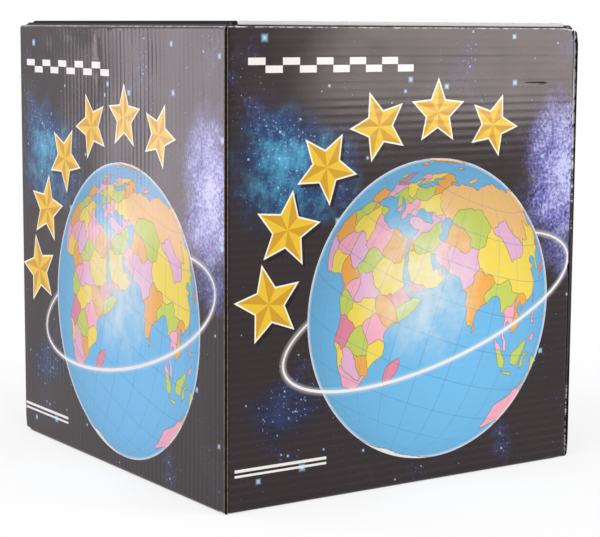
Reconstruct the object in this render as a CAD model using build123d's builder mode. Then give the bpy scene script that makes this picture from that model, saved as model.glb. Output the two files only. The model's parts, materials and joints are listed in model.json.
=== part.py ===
import os
from math import acos, cos, degrees, radians, sin, sqrt

from build123d import *

# Globe ball and its axis
ball_diameter = 214.0
ball_wall = 1.6
axis_tilt = 23.5
joint_ring_height = 18.0
joint_ring_wall = 1.5
joint_ring_fit = 0.05
band_height = 8.0
band_thickness = 0.25
bush_radius = 6.0
bush_length = 12.0
bush_fit = 0.1
flange_radius = 9.0
flange_thickness = 1.4
pin_radius = 2.5
pin_clearance = 0.05
pin_inner_reach = 14.0
washer_radius = 7.0
washer_gap = 0.15
knob_radius = 7.0
knob_height = 6.0
knob_round = 2.2
knob_grip = 4.0

# Stand
arm_gap = 3.5
arm_thickness = 7.0
arm_width = 16.0
arm_end_round = 6.0
arm_eye = 8.0
post_radius = 8.0
post_fit = 0.1
shoulder_radius = 13.0
shoulder_height = 5.0
neck_top_radius = 6.5
neck_length = 40.5
base_radius = 75.0
base_height = 34.0
rim_height = 14.0
collar_radius = 20.0
shell_wall = 2.5
socket_wall = 3.0
cover_thickness = 2.0
cover_fit = 0.3
ballast_gap = 5.5
ballast_bore = 18.0
ballast_height = 6.0
screw_inset = 20.0
screw_count = 3
boss_radius = 4.5
screw_radius = 1.5
screw_length = 10.0
screw_fit = 0.05
screw_head_radius = 3.0
screw_head_height = 1.5
post_screw_radius = 2.0
post_screw_length = 16.0
post_screw_head = 4.5
foot_count = 4
foot_inset = 13.0
foot_radius = 6.0
foot_height = 2.0

# Carton board, sized round the globe
board = 3.0
side_room = 36.5
front_room = 42.5
head_room = 9.1
fold_radius = 2.5
edge_setback = 0.6
crease_gap = 0.3
lid_rise = 3.6
strip_rise = 2.2
lid_side_gap = 0.8
lid_front_gap = 0.5
corner_tab_length = 70.0
corner_tab_trim = 2.0
inner_wall_gap = 1.0
lock_width = 45.0
lock_pitch = 140.0
lock_fit = 0.2
tuck_length = 50.0
tuck_lean = 7.0
tuck_corner = 8.0
ear_length = 60.0
ear_back_gap = 8.0
ear_back_taper = 25.0
ear_corner = 8.0
mitre_gap = board + 1.0
insert_height = 15.0
insert_gap = 0.5
pocket_gap = 1.0

# Plan of the stand's base
screw_circle = base_radius - screw_inset
foot_circle = base_radius - foot_inset
ballast_radius = screw_circle - boss_radius - ballast_gap

# Plan of the carton
ball_radius = ball_diameter / 2
inner_half_width = ball_radius + side_room
half_width = inner_half_width + 3 * board
inner_half_depth = ball_radius + front_room
half_depth = inner_half_depth + board
tab_face = half_width - board

# Heights, from the underside of the carton up
floor_top = board
base_bottom = floor_top + foot_height
base_top = base_bottom + base_height
cover_top = base_bottom + cover_thickness
arm_inner = ball_radius + arm_gap
arm_outer = arm_inner + arm_thickness
ball_height = base_top + neck_length + arm_outer
tilt = radians(axis_tilt)
globe_top = ball_height + (arm_outer + knob_height) * cos(tilt) + knob_radius * sin(tilt)
lid_underside = globe_top + head_room
lid_top = lid_underside + board
wall_height = lid_top - lid_rise

# Frame of the tilted axis: profiles are drawn with the radius across and the axis up
ball_centre = (0, 0, ball_height)
axis_dir = (sin(tilt), 0, cos(tilt))
across_dir = (cos(tilt), 0, -sin(tilt))
axis_profile = Plane(origin=ball_centre, x_dir=across_dir, z_dir=(0, -1, 0))
axis_plane = Plane(origin=ball_centre, x_dir=across_dir, z_dir=axis_dir)
spin_axis = Axis(ball_centre, axis_dir)

bush_hole = bush_radius + bush_fit
flange_seat = sqrt(ball_radius**2 - bush_hole**2)
flange_top = flange_seat + flange_thickness
washer_bottom = flange_top + washer_gap
washer_top = sqrt(arm_inner**2 - washer_radius**2) - washer_gap

os.makedirs("parts", exist_ok=True)


def save(builder, name):
    builder.part.label = name
    export_step(builder.part, f"parts/{name}.step")


# Bottom panel, with a slot for each lock tab
lock_x = half_width - 2.5 * board
with BuildPart() as bottom_panel:
    with BuildSketch(Plane.XY):
        Rectangle(2 * tab_face, 2 * inner_half_depth)
        with GridLocations(2 * lock_x, lock_pitch, 2, 2):
            Rectangle(board + 2 * lock_fit, lock_width + 2 * lock_fit, mode=Mode.SUBTRACT)
    extrude(amount=board)
save(bottom_panel, "bottom_panel")

# Front wall, rounded at its lower fold and at its two upright folds
with BuildPart() as front_wall:
    with BuildSketch(Plane.XY):
        with Locations((0, board / 2 - half_depth)):
            Rectangle(2 * tab_face, board)
    extrude(amount=wall_height)
    printed_face = front_wall.faces().sort_by(Axis.Y)[0]
    fillet(printed_face.edges().sort_by(Axis.Z)[:-1], fold_radius)
save(front_wall, "front_wall")

# Back wall, which ends just below the lid's crease
with BuildPart() as back_wall:
    with BuildSketch(Plane.XY):
        with Locations((0, half_depth - board / 2)):
            Rectangle(2 * tab_face, board)
    extrude(amount=lid_underside - crease_gap)
    printed_face = back_wall.faces().sort_by(Axis.Y)[-1]
    fillet(printed_face.edges().sort_by(Axis.Z)[:-1], fold_radius)
save(back_wall, "back_wall")

# Side walls: outer board, top strip that climbs inward and inner board, rolled over the corner tabs
rolled_length = 2 * (inner_half_depth - inner_wall_gap)
rolled_top = wall_height + strip_rise
for side, side_name in ((-1, "left"), (1, "right")):
    with BuildPart() as outer_wall:
        with BuildSketch(Plane.XY):
            with Locations((side * (half_width - board / 2), 0)):
                Rectangle(board, 2 * (half_depth - edge_setback))
        extrude(amount=wall_height)
        printed_face = outer_wall.faces().sort_by(Axis.X)[0 if side < 0 else -1]
        fillet(printed_face.edges().filter_by(Axis.Y), fold_radius)
    save(outer_wall, f"{side_name}_outer_wall")

    with BuildPart() as top_strip:
        with BuildSketch(Plane.XZ):
            with BuildLine():
                Polyline(
                    (side * tab_face, wall_height - board),
                    (side * tab_face, wall_height),
                    (side * (tab_face - board), rolled_top),
                    (side * (tab_face - board), rolled_top - board),
                    close=True,
                )
            make_face()
        extrude(amount=rolled_length / 2, both=True)
    save(top_strip, f"{side_name}_top_strip")

    with BuildPart() as inner_wall:
        with BuildSketch(Plane.XY.offset(floor_top)):
            with Locations((side * lock_x, 0)):
                Rectangle(board, rolled_length)
        extrude(amount=rolled_top - floor_top)
        inside_face = inner_wall.faces().sort_by(Axis.X)[-1 if side < 0 else 0]
        fillet(inside_face.edges().sort_by(Axis.Z)[-1], fold_radius)
        with BuildSketch(Plane.XY.offset(lock_fit)):
            with Locations((side * lock_x, 0)):
                with GridLocations(board, lock_pitch, 1, 2):
                    Rectangle(board, lock_width)
        extrude(amount=floor_top - lock_fit)
    save(inner_wall, f"{side_name}_inner_wall")

    tab_x = side * (tab_face - board / 2)
    tab_y = inner_half_depth - corner_tab_length / 2
    for end, end_name in ((-1, "front"), (1, "back")):
        with BuildPart() as corner_tab:
            with BuildSketch(Plane.XY.offset(floor_top)):
                with Locations((tab_x, end * tab_y)):
                    Rectangle(board, corner_tab_length)
            extrude(amount=wall_height - 2 * board - corner_tab_trim)
        save(corner_tab, f"{end_name}_{side_name}_tab")

# Lid panel, rounded along the four folds of its upper face
lid_half = inner_half_width - lid_side_gap
lid_front = lid_front_gap - inner_half_depth
with BuildPart() as lid_panel:
    with BuildSketch(Plane.XY.offset(lid_underside)):
        with Locations((0, (half_depth + lid_front) / 2)):
            Rectangle(2 * lid_half, half_depth - lid_front)
    extrude(amount=board)
    fillet(lid_panel.faces().sort_by(Axis.Z)[-1].edges(), fold_radius)
save(lid_panel, "lid_panel")

# Tuck flap, leaning inward from the lid's front fold, with mitred ends
lean = radians(tuck_lean)
tuck_top = lid_underside - crease_gap - board * sin(lean)
tuck_plane = Plane(origin=(0, lid_front, tuck_top), x_dir=(1, 0, 0), z_dir=(0, cos(lean), sin(lean)))
tuck_half = lid_half - mitre_gap
with BuildPart() as tuck_flap:
    with BuildSketch(tuck_plane) as tuck_sketch:
        with BuildLine():
            Polyline(
                (-tuck_half, 0),
                (tuck_half, 0),
                (tuck_half - tuck_length, tuck_length),
                (tuck_length - tuck_half, tuck_length),
                close=True,
            )
        make_face()
        fillet(tuck_sketch.vertices().sort_by(Axis.Y)[-2:], tuck_corner)
    extrude(amount=board)
save(tuck_flap, "tuck_flap")

# Lid ears, mitred at the front against the tuck flap and tapered at the back
ear_front = lid_front + mitre_gap
ear_back = inner_half_depth - ear_back_gap
for side, side_name in ((-1, "left"), (1, "right")):
    ear_plane = Plane(
        origin=(side * lid_half, 0, lid_underside - crease_gap), x_dir=(0, side, 0), z_dir=(-side, 0, 0)
    )
    with BuildPart() as lid_ear:
        with BuildSketch(ear_plane) as ear_sketch:
            with BuildLine():
                Polyline(
                    (side * ear_front, 0),
                    (side * ear_back, 0),
                    (side * (ear_back - ear_back_taper), ear_length),
                    (side * (ear_front + ear_length), ear_length),
                    close=True,
                )
            make_face()
            fillet(ear_sketch.vertices().sort_by(Axis.Y)[-2:], ear_corner)
        extrude(amount=board)
    save(lid_ear, f"{side_name}_lid_ear")

# Insert: a raised platform that rings the globe's base, on two folded legs
insert_half_width = inner_half_width - insert_gap
insert_depth = 2 * (inner_half_depth - insert_gap)
platform_bottom = floor_top + insert_height - board
with BuildPart() as insert_platform:
    with BuildSketch(Plane.XY.offset(platform_bottom)):
        Rectangle(2 * insert_half_width, insert_depth)
        Circle(base_radius + pocket_gap, mode=Mode.SUBTRACT)
    extrude(amount=board)
save(insert_platform, "insert_platform")

for side, side_name in ((-1, "left"), (1, "right")):
    with BuildPart() as insert_leg:
        with BuildSketch(Plane.XY.offset(floor_top)):
            with Locations((side * (insert_half_width - board / 2), 0)):
                Rectangle(board, insert_depth)
        extrude(amount=platform_bottom - floor_top)
    save(insert_leg, f"insert_{side_name}_leg")

# Ball half shells, bushes, pins, washers and knobs, the same at both poles
shell_inner = ball_radius - ball_wall
outer_reach = degrees(acos(bush_hole / ball_radius))
inner_reach = degrees(acos(bush_hole / shell_inner))
for pole, pole_name in ((1, "north"), (-1, "south")):
    with BuildPart() as half_shell:
        with BuildSketch(axis_profile):
            with BuildLine():
                outside = CenterArc((0, 0), ball_radius, 0, pole * outer_reach)
                inside = CenterArc((0, 0), shell_inner, 0, pole * inner_reach)
                Line(outside @ 0, inside @ 0)
                Line(outside @ 1, inside @ 1)
            make_face()
        revolve(axis=spin_axis)
    save(half_shell, f"{pole_name}_half_shell")

    with BuildPart() as bush:
        with BuildSketch(axis_profile):
            with BuildLine():
                Polyline(
                    (pin_radius + pin_clearance, pole * (flange_seat - bush_length)),
                    (bush_radius, pole * (flange_seat - bush_length)),
                    (bush_radius, pole * flange_seat),
                    (flange_radius, pole * flange_seat),
                    (flange_radius, pole * flange_top),
                    (pin_radius + pin_clearance, pole * flange_top),
                    close=True,
                )
            make_face()
        revolve(axis=spin_axis)
    save(bush, f"{pole_name}_bush")

    with BuildPart() as pivot_pin:
        with BuildSketch(axis_plane.offset(pole * (ball_radius - pin_inner_reach))):
            Circle(pin_radius)
        extrude(amount=pole * (arm_outer + knob_grip - ball_radius + pin_inner_reach))
    save(pivot_pin, f"{pole_name}_pivot_pin")

    with BuildPart() as washer:
        with BuildSketch(axis_plane.offset(pole * washer_bottom)):
            Circle(washer_radius)
            Circle(pin_radius + pin_clearance, mode=Mode.SUBTRACT)
        extrude(amount=pole * (washer_top - washer_bottom))
    save(washer, f"{pole_name}_washer")

    with BuildPart() as knob:
        with BuildSketch(axis_profile) as knob_sketch:
            with BuildLine():
                Polyline(
                    (0, pole * (arm_outer + knob_grip)),
                    (pin_radius + pin_clearance, pole * (arm_outer + knob_grip)),
                    (pin_radius + pin_clearance, pole * arm_outer),
                    (knob_radius, pole * arm_outer),
                    (knob_radius, pole * (arm_outer + knob_height)),
                    (0, pole * (arm_outer + knob_height)),
                    close=True,
                )
            make_face()
            rim_corner = (knob_radius, pole * (arm_outer + knob_height))
            fillet(knob_sketch.vertices().sort_by_distance(rim_corner)[0], knob_round)
        revolve(axis=spin_axis)
    save(knob, f"{pole_name}_knob")

# Joint ring inside the seam of the half shells
ring_outer = shell_inner - joint_ring_fit
ring_edge = sqrt(ring_outer**2 - (joint_ring_height / 2) ** 2)
with BuildPart() as joint_ring:
    with BuildSketch(axis_profile):
        with BuildLine():
            ThreePointArc(
                (ring_edge, -joint_ring_height / 2), (ring_outer, 0), (ring_edge, joint_ring_height / 2)
            )
            Polyline(
                (ring_edge, joint_ring_height / 2),
                (ring_edge - joint_ring_wall, joint_ring_height / 2),
                (ring_edge - joint_ring_wall, -joint_ring_height / 2),
                (ring_edge, -joint_ring_height / 2),
            )
        make_face()
    revolve(axis=spin_axis)
save(joint_ring, "joint_ring")

# Equator band laid over the seam
band_reach = degrees(acos(sqrt(ball_radius**2 - (band_height / 2) ** 2) / ball_radius))
with BuildPart() as equator_band:
    with BuildSketch(axis_profile):
        with BuildLine():
            under = CenterArc((0, 0), ball_radius, -band_reach, 2 * band_reach)
            over = CenterArc((0, 0), ball_radius + band_thickness, -band_reach, 2 * band_reach)
            Line(under @ 0, over @ 0)
            Line(under @ 1, over @ 1)
        make_face()
    revolve(axis=spin_axis)
save(equator_band, "equator_band")

# Meridian arm: half a ring from pole to pole, with the turned post under it
eye_overrun = degrees(arm_eye / arm_inner)
arm_start = radians(axis_tilt - eye_overrun)
arm_section = Plane(
    origin=ball_centre,
    x_dir=(sin(arm_start), 0, cos(arm_start)),
    z_dir=(-cos(arm_start), 0, sin(arm_start)),
)
post_profile = Plane(origin=(0, 0, 0), x_dir=(1, 0, 0), z_dir=(0, -1, 0))
arm_lowest = ball_height - arm_outer
with BuildPart() as meridian_arm:
    with BuildSketch(arm_section):
        with Locations(((arm_inner + arm_outer) / 2, 0)):
            Rectangle(arm_thickness, arm_width)
    revolve(axis=Axis(ball_centre, (0, 1, 0)), revolution_arc=180 + 2 * eye_overrun)
    end_edges = meridian_arm.edges().filter_by(GeomType.LINE).filter_by(Axis.Y, reverse=True)
    fillet(end_edges, arm_end_round)
    with BuildSketch(axis_plane.offset(-arm_outer - arm_thickness)):
        Circle(pin_radius + pin_clearance)
    extrude(amount=2 * (arm_outer + arm_thickness), mode=Mode.SUBTRACT)
    with BuildSketch(post_profile):
        with BuildLine():
            Polyline(
                (post_screw_radius + screw_fit, cover_top),
                (post_radius, cover_top),
                (post_radius, base_top),
                (shoulder_radius, base_top),
                (shoulder_radius, base_top + shoulder_height),
                (post_radius, base_top + 2 * shoulder_height),
                (neck_top_radius, arm_lowest - shoulder_height),
                (post_radius, arm_lowest + arm_thickness / 2),
                (0, arm_lowest + arm_thickness / 2),
                (0, cover_top + post_screw_length),
                (post_screw_radius + screw_fit, cover_top + post_screw_length),
                close=True,
            )
        make_face()
    revolve(axis=Axis.Z)
save(meridian_arm, "meridian_arm")

# Base dome, drawn solid and hollow, then joined by its socket and screw bosses
dome_mid_radius = 0.7 * base_radius
dome_mid_height = base_bottom + 0.8 * base_height


def dome_profile(inset):
    with BuildLine() as profile:
        dome = ThreePointArc(
            (base_radius - inset, base_bottom + rim_height),
            (dome_mid_radius - inset / 2, dome_mid_height - inset),
            (collar_radius, base_top - inset),
        )
        rim_foot = (base_radius - inset, base_bottom)
        Polyline(dome @ 1, (0, base_top - inset), (0, base_bottom), rim_foot, dome @ 0)
    return profile.line


with BuildPart() as solid_dome:
    with BuildSketch(post_profile):
        add(dome_profile(0))
        make_face()
    revolve(axis=Axis.Z)

with BuildPart() as dome_hollow:
    with BuildSketch(post_profile):
        add(dome_profile(shell_wall))
        make_face()
    revolve(axis=Axis.Z)

socket_radius = post_radius + post_fit
with BuildPart() as base_shell:
    with BuildSketch(Plane.XY.offset(cover_top)):
        Circle(socket_radius + socket_wall)
        with PolarLocations(screw_circle, screw_count):
            Circle(boss_radius)
    extrude(amount=base_height)
    add(solid_dome.part, mode=Mode.INTERSECT)
    add(solid_dome.part.cut(dome_hollow.part))
    with BuildSketch(Plane.XY.offset(cover_top)):
        Circle(socket_radius)
    extrude(amount=base_height, mode=Mode.SUBTRACT)
    with BuildSketch(Plane.XY.offset(cover_top)):
        with PolarLocations(screw_circle, screw_count):
            Circle(screw_radius + screw_fit)
    extrude(amount=screw_length, mode=Mode.SUBTRACT)
save(base_shell, "base_shell")

# Base cover, with its screw holes
with BuildPart() as base_cover:
    with BuildSketch(Plane.XY.offset(base_bottom)):
        Circle(base_radius - shell_wall - cover_fit)
        Circle(post_screw_radius + screw_fit, mode=Mode.SUBTRACT)
        with PolarLocations(screw_circle, screw_count):
            Circle(screw_radius + screw_fit, mode=Mode.SUBTRACT)
    extrude(amount=cover_thickness)
save(base_cover, "base_cover")

# Ballast ring on the cover
with BuildPart() as ballast_ring:
    with BuildSketch(Plane.XY.offset(cover_top)):
        Circle(ballast_radius)
        Circle(ballast_bore, mode=Mode.SUBTRACT)
    extrude(amount=ballast_height)
save(ballast_ring, "ballast_ring")

# Screws, driven from below, and rubber feet
with BuildPart() as post_screw:
    with BuildSketch(Plane.XY.offset(base_bottom - screw_head_height)):
        Circle(post_screw_head)
    extrude(amount=screw_head_height)
    with BuildSketch(Plane.XY.offset(base_bottom)):
        Circle(post_screw_radius)
    extrude(amount=post_screw_length)
save(post_screw, "post_screw")

for number, place in enumerate(PolarLocations(screw_circle, screw_count), start=1):
    with BuildPart() as base_screw:
        with BuildSketch(Plane(place).offset(base_bottom - screw_head_height)):
            Circle(screw_head_radius)
        extrude(amount=screw_head_height)
        with BuildSketch(Plane(place).offset(base_bottom)):
            Circle(screw_radius)
        extrude(amount=screw_length)
    save(base_screw, f"base_screw_{number}")

for number, place in enumerate(PolarLocations(foot_circle, foot_count, start_angle=45), start=1):
    with BuildPart() as foot:
        with BuildSketch(Plane(place).offset(floor_top)):
            Circle(foot_radius)
        extrude(amount=foot_height)
    save(foot, f"foot_{number}")
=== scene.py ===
import json
import math
import random
from functools import partial
from types import SimpleNamespace

import bmesh
import bpy
import numpy as np
from mathutils import Matrix, Vector, noise
from mathutils.geometry import delaunay_2d_cdt

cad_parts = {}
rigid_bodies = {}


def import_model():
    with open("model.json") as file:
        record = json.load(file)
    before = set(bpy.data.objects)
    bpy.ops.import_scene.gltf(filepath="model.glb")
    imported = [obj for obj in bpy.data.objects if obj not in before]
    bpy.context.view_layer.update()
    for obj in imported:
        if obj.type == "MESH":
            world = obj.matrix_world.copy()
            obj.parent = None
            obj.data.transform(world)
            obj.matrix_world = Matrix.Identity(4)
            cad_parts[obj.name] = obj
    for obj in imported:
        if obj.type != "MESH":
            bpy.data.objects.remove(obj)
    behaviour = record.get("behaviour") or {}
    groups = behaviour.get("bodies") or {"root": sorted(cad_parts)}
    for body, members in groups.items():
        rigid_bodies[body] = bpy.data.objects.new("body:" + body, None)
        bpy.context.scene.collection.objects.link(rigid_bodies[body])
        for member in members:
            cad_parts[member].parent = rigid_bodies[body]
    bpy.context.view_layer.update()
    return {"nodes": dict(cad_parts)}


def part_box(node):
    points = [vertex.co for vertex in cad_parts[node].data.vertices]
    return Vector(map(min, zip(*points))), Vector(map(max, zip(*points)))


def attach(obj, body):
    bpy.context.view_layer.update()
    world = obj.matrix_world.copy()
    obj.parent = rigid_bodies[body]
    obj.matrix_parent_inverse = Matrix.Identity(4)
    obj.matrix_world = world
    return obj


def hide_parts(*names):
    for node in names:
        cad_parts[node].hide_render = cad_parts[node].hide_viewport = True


for leftover in list(bpy.data.objects):
    bpy.data.objects.remove(leftover)
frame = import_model()

mm = 0.001
scene = bpy.context.scene
print("frame loaded:", len(frame["nodes"]), "nodes")


def paint(code):  # sRGB hex to linear
    parts = [int(code[i:i + 2], 16) / 255 for i in (1, 3, 5)]
    return tuple(c / 12.92 if c <= 0.04045 else ((c + 0.055) / 1.055) ** 2.4 for c in parts) + (1.0,)


def addNode(tree, kind, links=(), out=0, **settings):  # links in the inputs' order, or by name or number
    made = tree.nodes.new(kind if "Node" in kind else "ShaderNode" + kind)
    for name, value in settings.items():
        setattr(made, name, value)
    for name, value in links.items() if isinstance(links, dict) else enumerate(links):
        for each in value if isinstance(value, list) else [value]:
            if isinstance(each, bpy.types.NodeSocket):
                tree.links.new(each, made.inputs[name])
            else:
                made.inputs[name].default_value = each
    return made.outputs if out is None else made.outputs[out]


def newPiece(name, points, faces, finishes, finishIndex):  # points in millimetres
    mesh = bpy.data.meshes.new(name)
    mesh.from_pydata([tuple(p) for p in np.array(points) * mm], [], faces)
    for finish in finishes:
        mesh.materials.append(finish)
    mesh.polygons.foreach_set("material_index", finishIndex)
    piece = bpy.data.objects.new(name, mesh)
    scene.collection.objects.link(piece)
    return piece


attributeKinds = {1: ("FLOAT", "value"), 3: ("FLOAT_VECTOR", "vector"), 4: ("FLOAT_COLOR", "color")}


def setAttribute(mesh, name, domain, values):
    kind, field = attributeKinds[values[0].size]
    mesh.attributes.new(name, kind, domain).data.foreach_set(field, values.astype(np.float32).ravel())


def outwardFaces(mesh):
    shell = bmesh.new()
    shell.from_mesh(mesh)
    bmesh.ops.recalc_face_normals(shell, faces=shell.faces)
    shell.to_mesh(mesh)
    shell.free()
    mesh.update()


# Corrugated board, in millimetres
board = {
    "thick": 3.0, "liner": 0.35, "medium": 0.3, "flute": 5.7, "fluteSteps": 10, "fold": 2.5, "foldRows": 5,
    "grid": 9.0, "edgeRows": (0.8, 2.0, 4.5),  # mesh spacing, closer along a cut edge
    "recess": 0.9, "inkedShare": 0.2, "lipShare": 0.2,  # flutes set back at a cut edge, less if inked
    "mediumInset": 0.4, "mediumGap": 0.25, "mediumShare": 0.3,  # room left round the medium of a flap
    "swells": 5, "swellLength": (70, 170), "swellDepth": 0.09, "swellInset": 40,
    "dentInset": 5, "dentFade": 0.6, "dentRows": (-2.8, -2.1, -1.5, -1.0, -0.5, 0, 0.5, 1.0, 1.5, 2.1, 2.8),
    "least": 0.3, "slopeStep": 0.3,  # thinnest crushed board, and the step that slopes are measured over
    "cutWear": 2.2, "knockWear": 1.2,  # wear hugs a cut edge and spreads from a knocked corner
    "knockEase": 1.5, "crumple": ((0.6, 0.4), (1.9, 2.3)),  # a knock's fade, even and wavy shares, and waves
}

# Picture on the four walls, in millimetres from the lower left corner of a wall
picture = {
    "wall": 305.0,
    "globeCentre": (173.0, 124.0), "globeRadius": 107.0, "rimFrom": 0.978, "rimStrength": 0.8, "rimStep": 3,
    "viewLon": 58.0, "viewLat": 10.0, "viewRoll": -21.0,
    "shadeLight": (0.25, -0.35, 0.9), "shadeRange": (0.72, 0.36),
    "orbit": (130.0, 41.0), "orbitTilt": 14.0, "orbitBand": (0.8, 2.3), "orbitSteps": 150,
    "starArc": 139.0, "starFrom": 174.0, "starTo": 68.0, "starCount": 6, "starSize": (25.0, 20.5),
    "starWaist": 0.46, "starRim": 2.85, "starShadow": (2.2, -2.2),
    "barAt": (18.0, 291.5), "barCell": (13.5, 10.0), "barCells": 10, "barShares": (0.52, 0.48),
    "ruleAt": (8.0, 24.0), "ruleSize": (74.0, 5.5), "ruleShares": (0.3, 0.62),
}

# Printing inks, the lands' under a letter each
inks = {
    "ocean": "#6ab4e2", "ice": "#eef0ea",
    "y": "#efd655", "o": "#e9a84a", "p": "#f0a9be", "r": "#e0839c",
    "g": "#bfce5a", "l": "#e2b0d2", "b": "#ecbd78",
    "gold": "#e6bd2c", "goldDark": "#cc9a1a", "rim": "#f4efdc", "shadow": "#0c0a0a", "white": "#ebe8e8",
    "grid": "#3c7fb0", "stroke": "#6d4f46",
}

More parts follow.
